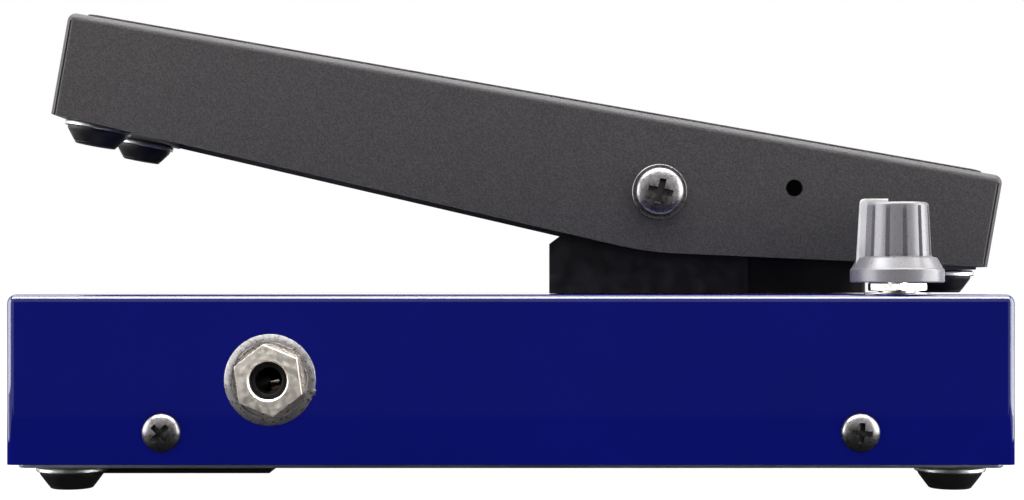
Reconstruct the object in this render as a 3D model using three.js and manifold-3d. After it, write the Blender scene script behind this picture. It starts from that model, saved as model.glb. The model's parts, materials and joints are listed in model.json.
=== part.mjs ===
// Treadle volume pedal. Millimetres, +Z up, +X towards the heel end, -Y towards the player's output jack.
// It stands on four feet at z = 0, and the treadle is drawn in its rest position, heel down.

import * as THREE from 'three';
import { mergeVertices } from 'three/addons/utils/BufferGeometryUtils.js';
import Module from 'manifold-3d';

const wasm = await Module();
wasm.setup();

// ---- driving dimensions -------------------------------------------------------------------------

const SHEET = 2;                 // sheet thickness of the base, treadle and pedestal
const BEND = 2.3;                // outer radius of the folds
const FIT = 0.1;                 // gap between pieces that rest on each other
const PLAY = 0.3;                // radial play round shafts, studs and threads
const PAST = 1;                  // how far a cutting shape runs past the surface it opens
const SINK = 0.5;                // how deep a joined shape is sunk in the one that it grows from
const ROUND = 24;                // sides on a round piece

const BASE = { length: 256.8, width: 114.3, top: 50.5, skirt: 7.2 };
const PLATE = { bottom: 6.2, sheet: 1.5, inset: 2.3, flangeTop: 20.8, flangeInset: 12 };
const FOOT_INSET = { end: 13.9, side: 12.5 };

const CUP = { radius: 9.1, height: 1.6, stud: 2.5, studLength: 4 };
const RUBBER = { top: 8.2, bottom: 5.7 };

const SIDE_SCREW = { x: 88.6, z: 15.4, head: 4.9, crown: 3.6, headHeight: 2.6, shank: 2.5, length: 11 };

const JACK = {
  x: -61.1, z: 28.8, bush: 4.75, bore: 3.35, body: 22, bodyHeight: 16, depth: 21.7,
  washer: 11.65, washerSheet: 1, nutFlats: 15.9, nutHeight: 3, nutTurn: THREE.MathUtils.degToRad(7.8),
};
const POWER = { y: 10, z: 29, nose: 5.5, bore: 3, width: 12, height: 12, depth: 13, floor: 2 };

const TREADLE = {
  slope: THREE.MathUtils.degToRad(9.97), width: 82, centreY: 10.85,
  pivotX: 40, pivotZ: 78, toe: -165.7, heel: 91.1, top: 20.4,
  toeEdge: -7.6, bellyX: -0.5, belly: -16.5, heelEdge: -4.6, bellyRound: 8,
};
const SIDE_HOLE = { x: 35.7, z: 7.3, radius: 2.3 };
const MAT = { toe: -161.5, heel: 86, width: 76, thickness: 0.5 };
const BUMPER_SPREAD = 29;        // bumper centres, to each side of the treadle's middle
const TOE_LIP = { bumperX: -155.3, length: 20 };
const HEEL_LIP = { bumperX: 118.6, underside: 57, front: -10.5, back: 7.3 };

const PEDESTAL = { nearFront: 10.4, front: 12.4, back: 64.3, gap: 1.5, nose: 11, foot: 12, shoulder: 64 };
const SMALL_SCREW = { head: 3.8, crown: 2.8, headHeight: 2.4, shank: 2, length: 7 };
const COVER = { front: 16, back: 99.6, near: -12, far: 33.7, top: 64, sheet: 1.5 };
const SLOT = { front: 21, back: 59, width: 8 };

const PIVOT = {
  screw: 3, head: 6.45, crown: 4.4, headHeight: 2.9, rimHeight: 1.3, washer: 7.35, washerSheet: 1,
  bush: 4.5, bushFlange: 7, nutFlats: 10, nutHeight: 5, length: 18,
};

const GEAR = {
  module: 1, sectorRadius: 45, pinionTeeth: 10, addendum: 0.85, dedendum: 1.2, slack: 0.2,
  flank: THREE.MathUtils.degToRad(20), rimEnd: 0.7,
};
const SECTOR = {
  teeth: 8, firstTooth: -22, thickness: 4, waist: 12, windowZ: -22, window: 6,
  flange: 16, flangeLength: 34, screwX: 12,
};
const PINION_WIDTH = 5;
const VOLUME_POT = {
  radius: 12, depth: 10.5, bush: 4.75, bushLength: 4.9, shaft: 3, shaftDepth: 5.5,
  plateY: 3, nutFlats: 12.7, nutHeight: 2, lugs: [-5, 0, 5], lugTop: 20,
};
const POT_BRACKET = { halfWidth: 16, bottom: 12, flange: 17 };

const LEVEL = {
  x: 101, y: -43.65, body: 10, bodyDepth: 10.5, shaft: 3, washer: 8.6,
  nutFlats: 14.3, nutHeight: 2, nutTurn: THREE.MathUtils.degToRad(-7),
};
const KNOB = {
  bottom: 53.5, skirt: 12.1, skirtTop: 57.3, skirtCorner: 0.6, neck: 8.75, neckZ: 60.3,
  crown: 8.1, top: 74.4, corner: 0.9, shaftTop: 69, sides: 32,
};
const POINTER = {
  thickness: 2.2, reach: 9.6, foot: 10.6, footZ: 58.6, top: 75.4, corner: 0.8,
  inner: 7.2, crossStart: 2.5, crossDepth: 2,
};

const DOOR = {
  toe: -114, heel: -62.6, near: -35, far: 0, bottom: 2.6, chamfer: 1.9,
  tongue: { near: -25, far: -12, sheet: 1.4 },
};
const BATTERY = {
  toe: -112.6, heel: -66.2, near: -32, far: -5.5, height: 17.5,
  stud: 2.9, studHeight: 1.6, studSpread: 6.35,
};
const CLIP = { near: -31, far: -6.5, bottom: 9, top: 21.5, sheet: 3 };
const BOARD = {
  toe: -46, heel: 12, near: -24, far: 30, z: 14, thickness: 1.6,
  post: { inset: 4, radius: 3, sides: 12 },
  capacitor: { x: [-34, -20], y: -8, radius: 4, height: 8 },
  chip: { toe: -30, heel: -18, near: 6, far: 13, height: 3.5 },
  relay: { toe: -8, heel: 2, near: -12, far: -4, height: 7 },
};

// ---- materials ----------------------------------------------------------------------------------

const paint = (color, roughness, metalness = 0) =>
  new THREE.MeshStandardMaterial({ color, roughness, metalness });
const BLUE = paint(0x0f1a74, 0.12);
const POWDER = paint(0x3f3d3f, 0.6);
const SATIN_BLACK = paint(0x0e0d0e, 0.35);
const ZINC = paint(0x9a9b9d, 0.35, 1);
const NICKEL = paint(0xc4c2bf, 0.18, 1);
const DARK_NICKEL = paint(0x7a7472, 0.28, 1);
const BRASS = paint(0xb08d4a, 0.35, 1);
const RUBBER_BLACK = paint(0x0c0b0c, 0.7);
const MAT_BLACK = paint(0x121212, 0.9);
const PLASTIC_BLACK = paint(0x08080a, 0.4);
const KNOB_GREY = paint(0x8d8b90, 0.4);
const POINTER_WHITE = paint(0xf2f2f0, 0.35);
const BOARD_GREEN = paint(0x1f5a35, 0.5);
const BATTERY_WRAP = paint(0x3a3c40, 0.4);
const NYLON = paint(0xdcd8cc, 0.5);

// ---- shapes -------------------------------------------------------------------------------------

function solid(geometry) {
  const bare = geometry.clone();
  bare.deleteAttribute('normal');
  bare.deleteAttribute('uv');
  const merged = mergeVertices(bare);
  return new wasm.Manifold(new wasm.Mesh({
    numProp: 3,
    vertProperties: new Float32Array(merged.attributes.position.array),
    triVerts: new Uint32Array(merged.index.array),
  }));
}

function join(first, ...others) {
  return others.reduce((sum, other) => sum.add(solid(other)), solid(first));
}

function cut(body, ...tools) {
  return tools.reduce((left, tool) => left.subtract(solid(tool)), body);
}

function block(x0, x1, y0, y1, z0, z1) {
  const box = new THREE.BoxGeometry(x1 - x0, y1 - y0, z1 - z0);
  return box.translate((x0 + x1) / 2, (y0 + y1) / 2, (z0 + z1) / 2);
}

// A round bar, cone or prism along Y, from y0 to y1.
function barY(x, z, y0, y1, radius0, radius1 = radius0, sides = ROUND, turn = 0) {
  const bar = new THREE.CylinderGeometry(radius1, radius0, y1 - y0, sides);
  return bar.rotateY(turn).translate(x, (y0 + y1) / 2, z);
}

// The same, upright along Z.
function barZ(x, y, z0, z1, radius0, radius1 = radius0, sides = ROUND, turn = 0) {
  const bar = new THREE.CylinderGeometry(radius1, radius0, z1 - z0, sides);
  return bar.rotateY(turn).rotateX(Math.PI / 2).translate(x, y, (z0 + z1) / 2);
}

// The same, along X.
function barX(y, z, x0, x1, radius) {
  const bar = new THREE.CylinderGeometry(radius, radius, x1 - x0, ROUND);
  return bar.rotateZ(Math.PI / 2).translate((x0 + x1) / 2, y, z);
}

// A side-view outline of [x, z] points, or a Shape, carried from y0 to y1.
function side(outline, y0, y1, bevel = 0) {
  const shape = Array.isArray(outline) ? polygon(outline) : outline;
  const extruded = new THREE.ExtrudeGeometry(shape, {
    depth: y1 - y0 - 2 * bevel, curveSegments: 6,
    bevelEnabled: bevel > 0, bevelSize: bevel, bevelThickness: bevel, bevelOffset: -bevel, bevelSegments: 3,
  });
  return extruded.rotateX(Math.PI / 2).translate(0, y1 - bevel, 0);
}

function polygon(points) {
  return new THREE.Shape(points.map(([x, y]) => new THREE.Vector2(x, y)));
}

// Two ends of a stretch along an axis, the lower one first.
const lowFirst = (a, b) => [Math.min(a, b), Math.max(a, b)];

// Radius at the corners of a hexagon, from the distance across its flats.
const corners = (flats) => flats / Math.sqrt(3);

const pedal = new THREE.Group();

function addPiece(name, shape, material, parent = pedal) {
  let geometry = shape;
  if (!shape.isBufferGeometry) {
    const { vertProperties, triVerts } = shape.getMesh();
    geometry = new THREE.BufferGeometry();
    geometry.setAttribute('position', new THREE.BufferAttribute(vertProperties, 3));
    geometry.setIndex(new THREE.BufferAttribute(triVerts, 1));
  }
  const mesh = new THREE.Mesh(geometry, material);
  mesh.name = name;
  parent.add(mesh);
  return mesh;
}

// ---- base ---------------------------------------------------------------------------------------

const halfLength = BASE.length / 2;
const halfWidth = BASE.width / 2;
const treadleY = TREADLE.centreY;
const plateTop = PLATE.bottom + PLATE.sheet;
const ceiling = BASE.top - SHEET;
const pinionZ = TREADLE.pivotZ - GEAR.sectorRadius - GEAR.module * GEAR.pinionTeeth / 2;
const pedestalScrewY = TREADLE.width / 2 - SHEET - PEDESTAL.gap - SHEET - PEDESTAL.foot / 2;

// [label, way along the axis] for what both long sides, or both ends, carry
const LONG_SIDES = [['near', -1], ['far', 1]];
const ENDS = [['toe', -1], ['heel', 1]];

// Corner points of a rectangle with round corners, as [x, y], anticlockwise.
function roundedRectangle(halfX, halfY, radius, steps) {
  const points = [];
  const centres = [[1, -1], [1, 1], [-1, 1], [-1, -1]];
  centres.forEach(([wayX, wayY], quarter) => {
    for (let step = 0; step <= steps; step += 1) {
      const angle = (quarter - 1 + step / steps) * Math.PI / 2;
      points.push([
        wayX * (halfX - radius) + radius * Math.cos(angle),
        wayY * (halfY - radius) + radius * Math.sin(angle),
      ]);
    }
  });
  return points;
}

// A hole with play round a stud of this radius, through the top of the base and what lies on it.
function topHole(x, y, radius, top = BASE.top) {
  return barZ(x, y, ceiling - PAST, top + PAST, radius + PLAY);
}

// The slot that the sector gear swings in, through everything between two heights.
function sectorSlot(bottom, top) {
  const half = SLOT.width / 2;
  return block(SLOT.front, SLOT.back, treadleY - half, treadleY + half, bottom - PAST, top + PAST);
}

function baseShell() {
  const [x, y] = [halfLength, halfWidth];
  const box = new THREE.ExtrudeGeometry(polygon(roundedRectangle(x, y, BEND * 1.3, 3)), {
    depth: BASE.top, bevelThickness: BEND, bevelSize: BEND, bevelOffset: -BEND, bevelSegments: 3,
  });
  box.translate(0, 0, -BEND);
  const holes = [
    block(-x - PAST, x + PAST, -y - PAST, y + PAST, -2 * BEND, BASE.skirt),
    block(-x + SHEET, x - SHEET, -y + SHEET, y - SHEET, 0, ceiling),
    sectorSlot(ceiling, BASE.top),
    topHole(LEVEL.x, LEVEL.y, VOLUME_POT.bush),
    barX(POWER.y, POWER.z, -x - PAST, -x + SHEET + PAST, POWER.nose + PLAY),
    barY(JACK.x, JACK.z, -y - PAST, y + PAST, JACK.bush + PLAY),
  ];
  for (const turn of [-1, 1]) {
    holes.push(topHole(TREADLE.pivotX, treadleY + turn * pedestalScrewY, SMALL_SCREW.shank));
    holes.push(barY(turn * SIDE_SCREW.x, SIDE_SCREW.z, -y - PAST, y + PAST, SIDE_SCREW.shank + PLAY));
  }
  return cut(solid(box), ...holes);
}

function bottomPlate() {
  const x = halfLength - PLATE.inset;
  const y = halfWidth - PLATE.inset;
  const flangeX = x - PLATE.flangeInset;
  const { post } = BOARD;
  const floor = block(-x, x, -y, y, PLATE.bottom, plateTop);
  const posts = [];
  for (const postX of [BOARD.toe + post.inset, BOARD.heel - post.inset]) {
    for (const postY of [BOARD.near + post.inset, BOARD.far - post.inset]) {
      posts.push(barZ(postX, postY, plateTop - SINK, BOARD.z - FIT, post.radius, post.radius, post.sides));
    }
  }
  const tray = join(
    floor,
    block(-flangeX, flangeX, -y, -y + PLATE.sheet, PLATE.bottom, PLATE.flangeTop),
    block(-flangeX, flangeX, y - PLATE.sheet, y, PLATE.bottom, PLATE.flangeTop),
    ...posts,
  );
  const holes = [
    block(BATTERY.toe - PLAY, DOOR.heel - PAST, BATTERY.near - PLAY, BATTERY.far + PLAY, 0, PLATE.flangeTop),
  ];
  for (const endX of [-1, 1]) {
    holes.push(barY(endX * SIDE_SCREW.x, SIDE_SCREW.z, -y - PAST, y + PAST, SIDE_SCREW.shank + PLAY));
    for (const sideY of [-1, 1]) {
      const [footX, footY] = [endX * (halfLength - FOOT_INSET.end), sideY * (halfWidth - FOOT_INSET.side)];
      holes.push(barZ(footX, footY, 0, plateTop + PAST, CUP.stud + PLAY));
    }
  }
  return cut(tray, ...holes);
}

// A cup washer with its stud, hung from a sheet whose underside is at z = 0 of its parent group.
function bumperCup() {
  return join(
    barZ(0, 0, -FIT - CUP.height, -FIT, CUP.radius),
    barZ(0, 0, -FIT - CUP.height / 2, CUP.studLength, CUP.stud),
  );
}

function bumperRubber() {
  return barZ(0, 0, -PLATE.bottom, -2 * FIT - CUP.height, RUBBER.bottom, RUBBER.top);
}

function addBumper(name, parent, x, y, z, turn = 0) {
  const spot = new THREE.Group();
  spot.position.set(x, y, z);
  spot.rotation.y = turn;
  parent.add(spot);
  addPiece(`${name}_cup`, bumperCup(), ZINC, spot);
  addPiece(`${name}_rubber`, bumperRubber(), RUBBER_BLACK, spot);
}

function sideScrew(x, way) {
  const wall = way * (halfWidth + FIT);
  const face = way * (halfWidth + FIT + SIDE_SCREW.headHeight);
  const tip = way * (halfWidth - SIDE_SCREW.length);
  const middle = way * (halfWidth + FIT + SIDE_SCREW.headHeight / 2);
  const ends = [SIDE_SCREW.crown, SIDE_SCREW.head];
  const [low, high] = way < 0 ? ends : ends.reverse();
  return join(
    barY(x, SIDE_SCREW.z, ...lowFirst(wall, middle), SIDE_SCREW.head),
    barY(x, SIDE_SCREW.z, ...lowFirst(face, middle), low, high),
    barY(x, SIDE_SCREW.z, ...lowFirst(tip, middle), SIDE_SCREW.shank),
  );
}

addPiece('base_shell', baseShell(), BLUE);
addPiece('bottom_plate', bottomPlate(), ZINC);
for (const [end, wayX] of ENDS) {
  for (const [label, wayY] of LONG_SIDES) {
    const [footX, footY] = [wayX * (halfLength - FOOT_INSET.end), wayY * (halfWidth - FOOT_INSET.side)];
    addBumper(`foot_${end}_${label}`, pedal, footX, footY, PLATE.bottom);
    addPiece(`side_screw_${end}_${label}`, sideScrew(wayX * SIDE_SCREW.x, wayY), DARK_NICKEL);
  }
}

// ---- battery and its door -----------------------------------------------------------------------

function batteryDoor() {
  const top = PLATE.bottom - FIT;
  const panel = [
    [DOOR.toe, DOOR.bottom], [DOOR.heel - DOOR.chamfer, DOOR.bottom], [DOOR.heel, top], [DOOR.toe, top],
  ];
  const { near, far, sheet } = DOOR.tongue;
  const tongueX = BATTERY.heel + PAST;
  const tongue = block(tongueX, tongueX + sheet, near, far, top - SINK, plateTop + SINK);
  return join(side(panel, DOOR.near, DOOR.far), tongue);
}

function battery() {
  const low = PLATE.bottom + PLAY;
  const middle = low + BATTERY.height / 2;
  const centre = (BATTERY.near + BATTERY.far) / 2;
  const studEnd = BATTERY.heel + BATTERY.studHeight;
  const studs = [-1, 1].map((way) =>
    barX(centre + way * BATTERY.studSpread, middle, BATTERY.heel - SINK, studEnd, BATTERY.stud));
  const can = block(BATTERY.toe, BATTERY.heel, BATTERY.near, BATTERY.far, low, low + BATTERY.height);
  return join(can, ...studs);
}

addPiece('battery_door', batteryDoor(), PLASTIC_BLACK);
addPiece('battery', battery(), BATTERY_WRAP);
const clipX = BATTERY.heel + BATTERY.studHeight + 2 * FIT;
addPiece('battery_clip',
  block(clipX, clipX + CLIP.sheet, CLIP.near, CLIP.far, CLIP.bottom, CLIP.top), PLASTIC_BLACK);

// ---- jacks and circuit board --------------------------------------------------------------------

// Everything of one lead jack, on the long side that way points to: body, washer and nut.
function addJack(name, way) {
  const span = (inner, outer) => lowFirst(way * inner, way * outer);
  const inside = halfWidth - SHEET - FIT;
  const washerOuter = halfWidth + FIT + JACK.washerSheet;
  const nutOuter = washerOuter + FIT + JACK.nutHeight;
  const [bodyLow, bodyHigh] = span(inside - JACK.depth, inside);
  const body = join(
    block(JACK.x - JACK.body / 2, JACK.x + JACK.body / 2, bodyLow, bodyHigh,
      JACK.z - JACK.bodyHeight / 2, JACK.z + JACK.bodyHeight / 2),
    barY(JACK.x, JACK.z, ...span(inside - SINK, nutOuter - PLAY), JACK.bush),
  );
  const bore = barY(JACK.x, JACK.z, ...span(inside - JACK.depth - PAST, nutOuter + PAST), JACK.bore);
  addPiece(`${name}_body`, cut(body, bore), PLASTIC_BLACK);
  const clearance = barY(JACK.x, JACK.z, ...span(inside, nutOuter + PAST), JACK.bush + PLAY);
  const washer = barY(JACK.x, JACK.z, ...span(halfWidth + FIT, washerOuter), JACK.washer);
  addPiece(`${name}_washer`, cut(solid(washer), clearance), ZINC);
  const hexagon = corners(JACK.nutFlats);
  const nut = barY(JACK.x, JACK.z, ...span(washerOuter + FIT, nutOuter), hexagon, hexagon, 6, JACK.nutTurn);
  addPiece(`${name}_nut`, cut(solid(nut), clearance), NICKEL);
}

function powerJack() {
  const wall = -halfLength + SHEET + FIT;
  const [y, z] = [POWER.width / 2, POWER.height / 2];
  const body = join(
    block(wall, wall + POWER.depth, POWER.y - y, POWER.y + y, POWER.z - z, POWER.z + z),
    barX(POWER.y, POWER.z, -halfLength + FIT, wall + SINK, POWER.nose),
  );
  return cut(body, barX(POWER.y, POWER.z, -halfLength - PAST, wall + POWER.depth - POWER.floor, POWER.bore));
}

function circuitBoard() {
  const top = BOARD.z + BOARD.thickness;
  const { capacitor } = BOARD;
  const cans = capacitor.x.map((x) =>
    barZ(x, capacitor.y, top - SINK, top + capacitor.height, capacitor.radius));
  const boxes = [BOARD.chip, BOARD.relay].map(({ toe, heel, near, far, height }) =>
    block(toe, heel, near, far, top - SINK, top + height));
  return join(block(BOARD.toe, BOARD.heel, BOARD.near, BOARD.far, BOARD.z, top), ...cans, ...boxes);
}

addJack('output_jack', -1);
addJack('input_jack', 1);
addPiece('power_jack', powerJack(), PLASTIC_BLACK);
addPiece('circuit_board', circuitBoard(), BOARD_GREEN);

// ---- pedestal -----------------------------------------------------------------------------------

const pedestalOuter = TREADLE.width / 2 - SHEET - PEDESTAL.gap;

// One upright plate: a broad foot that narrows to a round nose about the pivot.
function pedestalPlate(front, y0, y1) {
  const { pivotX, pivotZ } = TREADLE;
  const outline = new THREE.Shape();
  outline.moveTo(front, BASE.top + FIT);
  outline.lineTo(PEDESTAL.back, BASE.top + FIT);
  outline.lineTo(PEDESTAL.back, PEDESTAL.shoulder);
  outline.lineTo(pivotX + PEDESTAL.nose, pivotZ);
  outline.absarc(pivotX, pivotZ, PEDESTAL.nose, 0, Math.PI);
  outline.lineTo(front, PEDESTAL.shoulder);
  return side(outline, y0, y1);
}

function pedestalBracket() {
  const [low, high] = [treadleY - pedestalOuter, treadleY + pedestalOuter];
  const bottom = BASE.top + FIT;
  const bracket = join(
    pedestalPlate(PEDESTAL.nearFront, low, low + SHEET),
    pedestalPlate(PEDESTAL.front, high - SHEET, high),
    block(PEDESTAL.front, PEDESTAL.front + SHEET, low, high, bottom, PEDESTAL.shoulder),
    block(PEDESTAL.front, PEDESTAL.back, low, low + SHEET + PEDESTAL.foot, bottom, bottom + SHEET),
    block(PEDESTAL.front, PEDESTAL.back, high - SHEET - PEDESTAL.foot, high, bottom, bottom + SHEET),
  );
  return cut(
    bracket,
    barY(TREADLE.pivotX, TREADLE.pivotZ, low - PAST, high + PAST, PIVOT.screw + PLAY),
    topHole(TREADLE.pivotX, treadleY - pedestalScrewY, SMALL_SCREW.shank, bottom + SHEET),
    topHole(TREADLE.pivotX, treadleY + pedestalScrewY, SMALL_SCREW.shank, bottom + SHEET),
  );
}

function pedestalScrew(y) {
  const seat = BASE.top + 2 * FIT + SHEET;
  const { head, crown, headHeight, shank, length } = SMALL_SCREW;
  return join(
    barZ(TREADLE.pivotX, y, seat, seat + headHeight, head, crown),
    barZ(TREADLE.pivotX, y, seat - length, seat + SINK, shank),
  );
}

function gearCover() {
  const bottom = BASE.top + FIT;
  const { front, back, near, far, top, sheet } = COVER;
  return cut(
    solid(block(front, back, near, far, bottom, top)),
    block(front + sheet, back - sheet, near + sheet, far - sheet, bottom - PAST, top - sheet),
    sectorSlot(bottom, top),
  );
}

addPiece('pedestal_bracket', pedestalBracket(), SATIN_BLACK);
addPiece('gear_cover', gearCover(), SATIN_BLACK);
for (const [label, way] of LONG_SIDES) {
  addPiece(`pedestal_screw_${label}`, pedestalScrew(treadleY + way * pedestalScrewY), ZINC);
}

// ---- pivot hardware, standing still in the pedestal -------------------------------------------------

function addPivotHardware(label, way) {
  const span = (inner, outer) => lowFirst(treadleY + way * inner, treadleY + way * outer);
  const { pivotX: x, pivotZ: z } = TREADLE;
  const washerInner = TREADLE.width / 2 + FIT;
  const seat = washerInner + PIVOT.washerSheet + FIT;
  const face = seat + PIVOT.headHeight;
  const shoulder = seat + PIVOT.rimHeight;
  const plateInner = pedestalOuter - SHEET - FIT;
  const ends = [PIVOT.crown, PIVOT.head];
  const [radius0, radius1] = way < 0 ? ends : ends.reverse();
  const screw = join(
    barY(x, z, ...span(seat, shoulder), PIVOT.head),
    barY(x, z, ...span(shoulder, face), radius0, radius1),
    barY(x, z, ...span(seat - PIVOT.length, seat + SINK), PIVOT.screw),
  );
  addPiece(`pivot_screw_${label}`, screw, DARK_NICKEL);
  const hole = barY(x, z, ...span(plateInner - PIVOT.nutHeight - PAST, face), PIVOT.screw + PLAY);
  const washer = barY(x, z, ...span(washerInner, seat - FIT), PIVOT.washer);
  addPiece(`pivot_washer_${label}`, cut(solid(washer), hole), ZINC);
  const hexagon = corners(PIVOT.nutFlats);
  const nut = barY(x, z, ...span(plateInner - PIVOT.nutHeight, plateInner), hexagon, hexagon, 6);
  addPiece(`pivot_nut_${label}`, cut(solid(nut), hole), ZINC);
}

for (const [label, way] of LONG_SIDES) {
  addPivotHardware(label, way);
}

// ---- volume potentiometer and pinion ------------------------------------------------------------

const shaftX = TREADLE.pivotX;
const plateY = VOLUME_POT.plateY;

function potBracket() {
  const [x0, x1] = [shaftX - POT_BRACKET.halfWidth, shaftX + POT_BRACKET.halfWidth];
  const top = ceiling - FIT;
  const bracket = join(
    block(x0, x1, plateY, plateY + SHEET, POT_BRACKET.bottom, top),
    block(x0, x1, plateY - POT_BRACKET.flange, plateY + SHEET, top - SHEET, top),
  );
  return cut(bracket, barY(shaftX, pinionZ, plateY - PAST, plateY + SHEET + PAST, VOLUME_POT.bush + PLAY));
}

// The blind hole that the shaft turns in.
function shaftWell(front, bush) {
  return barY(shaftX, pinionZ, front - VOLUME_POT.shaftDepth - PLAY, bush + PAST, VOLUME_POT.shaft + PLAY);
}

function volumePot() {
  const front = plateY - FIT;
  const bush = front + VOLUME_POT.bushLength;
  const lugs = VOLUME_POT.lugs.map((x) =>
    block(shaftX + x - 1, shaftX + x + 1, front - 2.5, front - 1.5, POT_BRACKET.bottom, VOLUME_POT.lugTop));
  const body = join(
    barY(shaftX, pinionZ, front - VOLUME_POT.depth, front, VOLUME_POT.radius),
    barY(shaftX, pinionZ, front - SINK, bush, VOLUME_POT.bush),
    ...lugs,
  );
  return cut(body, shaftWell(front, bush));
}

// The corners of one gear tooth: root, tip, tip, root, as [radius, angle] about the gear's centre.
function toothCorners(pitchRadius, centreAngle) {
  const root = pitchRadius - GEAR.dedendum;
  const tip = pitchRadius + GEAR.addendum;
  const halfAt = (radius) =>
    (GEAR.module * Math.PI / 4 - GEAR.slack - (radius - pitchRadius) * Math.tan(GEAR.flank)) / radius;
  return [
    [root, centreAngle - halfAt(root)], [tip, centreAngle - halfAt(tip)],
    [tip, centreAngle + halfAt(tip)], [root, centreAngle + halfAt(root)],
  ];
}

function pinion() {
  const points = [];
  for (let tooth = 0; tooth < GEAR.pinionTeeth; tooth += 1) {
    const centre = Math.PI / 2 + tooth * 2 * Math.PI / GEAR.pinionTeeth;
    for (const [radius, angle] of toothCorners(GEAR.module * GEAR.pinionTeeth / 2, centre)) {
      points.push([shaftX + radius * Math.cos(angle), pinionZ + radius * Math.sin(angle)]);
    }
  }
  const [y0, y1] = [treadleY - PINION_WIDTH / 2, treadleY + PINION_WIDTH / 2];
  const shaftStart = plateY - FIT - VOLUME_POT.shaftDepth;
  return join(side(points, y0, y1), barY(shaftX, pinionZ, shaftStart, y1 - SINK, VOLUME_POT.shaft));
}

addPiece('pot_bracket', potBracket(), ZINC);
addPiece('volume_pot', volumePot(), ZINC);
const nutSeat = plateY + SHEET + FIT;
addPiece('volume_pot_nut', cut(
  solid(barY(shaftX, pinionZ, nutSeat, nutSeat + VOLUME_POT.nutHeight,
    corners(VOLUME_POT.nutFlats), corners(VOLUME_POT.nutFlats), 6)),
  barY(shaftX, pinionZ, plateY, nutSeat + VOLUME_POT.nutHeight + PAST, VOLUME_POT.bush + PLAY),
), NICKEL);
addPiece('pinion', pinion(), BRASS);

// ---- level control ------------------------------------------------------------------------------

const levelShaftBottom = ceiling - FIT - VOLUME_POT.shaftDepth;

function levelPot() {
  const top = ceiling - FIT;
  const bushTop = KNOB.bottom - PLAY;
  const body = join(
    barZ(LEVEL.x, LEVEL.y, top - LEVEL.bodyDepth, top, LEVEL.body),
    barZ(LEVEL.x, LEVEL.y, top - SINK, bushTop, VOLUME_POT.bush),
  );
  return cut(body, barZ(LEVEL.x, LEVEL.y, levelShaftBottom - PLAY, bushTop + PAST, LEVEL.shaft + PLAY));
}

function ringZ(z0, z1, outer, sides, turn = 0) {
  const ring = barZ(LEVEL.x, LEVEL.y, z0, z1, outer, outer, sides, turn);
  return cut(solid(ring), barZ(LEVEL.x, LEVEL.y, z0 - PAST, z1 + PAST, VOLUME_POT.bush + PLAY));
}

// The pointer is an L of white plastic that runs up the knob's side and across its top.
function pointer(grow = 0) {
  const crossBottom = KNOB.top - POINTER.crossDepth;
  const outline = [
    [-POINTER.foot - grow, POINTER.footZ - grow], [-POINTER.reach - grow, POINTER.top - POINTER.corner],
    [-POINTER.reach + POINTER.corner, POINTER.top + grow], [-POINTER.crossStart + grow, POINTER.top + grow],
    [-POINTER.crossStart + grow, crossBottom - grow], [-POINTER.inner + grow, crossBottom - grow],
    [-POINTER.inner + grow, POINTER.footZ - grow],
  ].map(([x, z]) => [LEVEL.x + x, z]);
  const half = POINTER.thickness / 2 + grow;
  return side(outline, LEVEL.y - half, LEVEL.y + half);
}

function knob() {
  const profile = [
    [0, KNOB.bottom], [KNOB.skirt, KNOB.bottom], [KNOB.skirt, KNOB.skirtTop - KNOB.skirtCorner],
    [KNOB.skirt - KNOB.skirtCorner, KNOB.skirtTop], [KNOB.neck, KNOB.neckZ],
    [KNOB.crown, KNOB.top - KNOB.corner], [KNOB.crown - KNOB.corner, KNOB.top], [0, KNOB.top],
  ].map(([radius, z]) => new THREE.Vector2(radius, z));
  const turned = new THREE.LatheGeometry(profile, KNOB.sides);
  turned.rotateX(Math.PI / 2).translate(LEVEL.x, LEVEL.y, 0);
  return cut(
    solid(turned),
    barZ(LEVEL.x, LEVEL.y, KNOB.bottom - PAST, KNOB.shaftTop, LEVEL.shaft + PLAY),
    pointer(FIT),
  );
}

const nutTop = KNOB.bottom - 2 * FIT;
const nutBottom = nutTop - LEVEL.nutHeight;
addPiece('level_pot', levelPot(), ZINC);
addPiece('level_pot_washer', ringZ(BASE.top + FIT, nutBottom - FIT, LEVEL.washer, ROUND), ZINC);
addPiece('level_pot_nut', ringZ(nutBottom, nutTop, corners(LEVEL.nutFlats), 6, LEVEL.nutTurn), NICKEL);
addPiece('level_pot_shaft',
  barZ(LEVEL.x, LEVEL.y, levelShaftBottom, KNOB.shaftTop - PLAY, LEVEL.shaft), NICKEL);
addPiece('knob', knob(), KNOB_GREY);
addPiece('knob_pointer', pointer(), POINTER_WHITE);

// ---- treadle, in its own frame: x along its top from the pivot, z square to its top -----------------

const treadle = new THREE.Group();
treadle.position.set(TREADLE.pivotX, treadleY, TREADLE.pivotZ);
treadle.rotation.y = TREADLE.slope;
pedal.add(treadle);

// A point of the pedal's side view, in the treadle's own frame.
function inTreadle(x, z) {
  const [dx, dz] = [x - TREADLE.pivotX, z - TREADLE.pivotZ];
  const [c, s] = [Math.cos(TREADLE.slope), Math.sin(TREADLE.slope)];
  return [dx * c - dz * s, dx * s + dz * c];
}

const heelBumper = inTreadle(HEEL_LIP.bumperX, HEEL_LIP.underside);

// A shape drawn level about the heel bumpers' seat, set in place under the sloping treadle.
function atHeelBumper(shape) {
  return shape.rotateY(-TREADLE.slope).translate(heelBumper[0], 0, heelBumper[1]);
}

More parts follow.
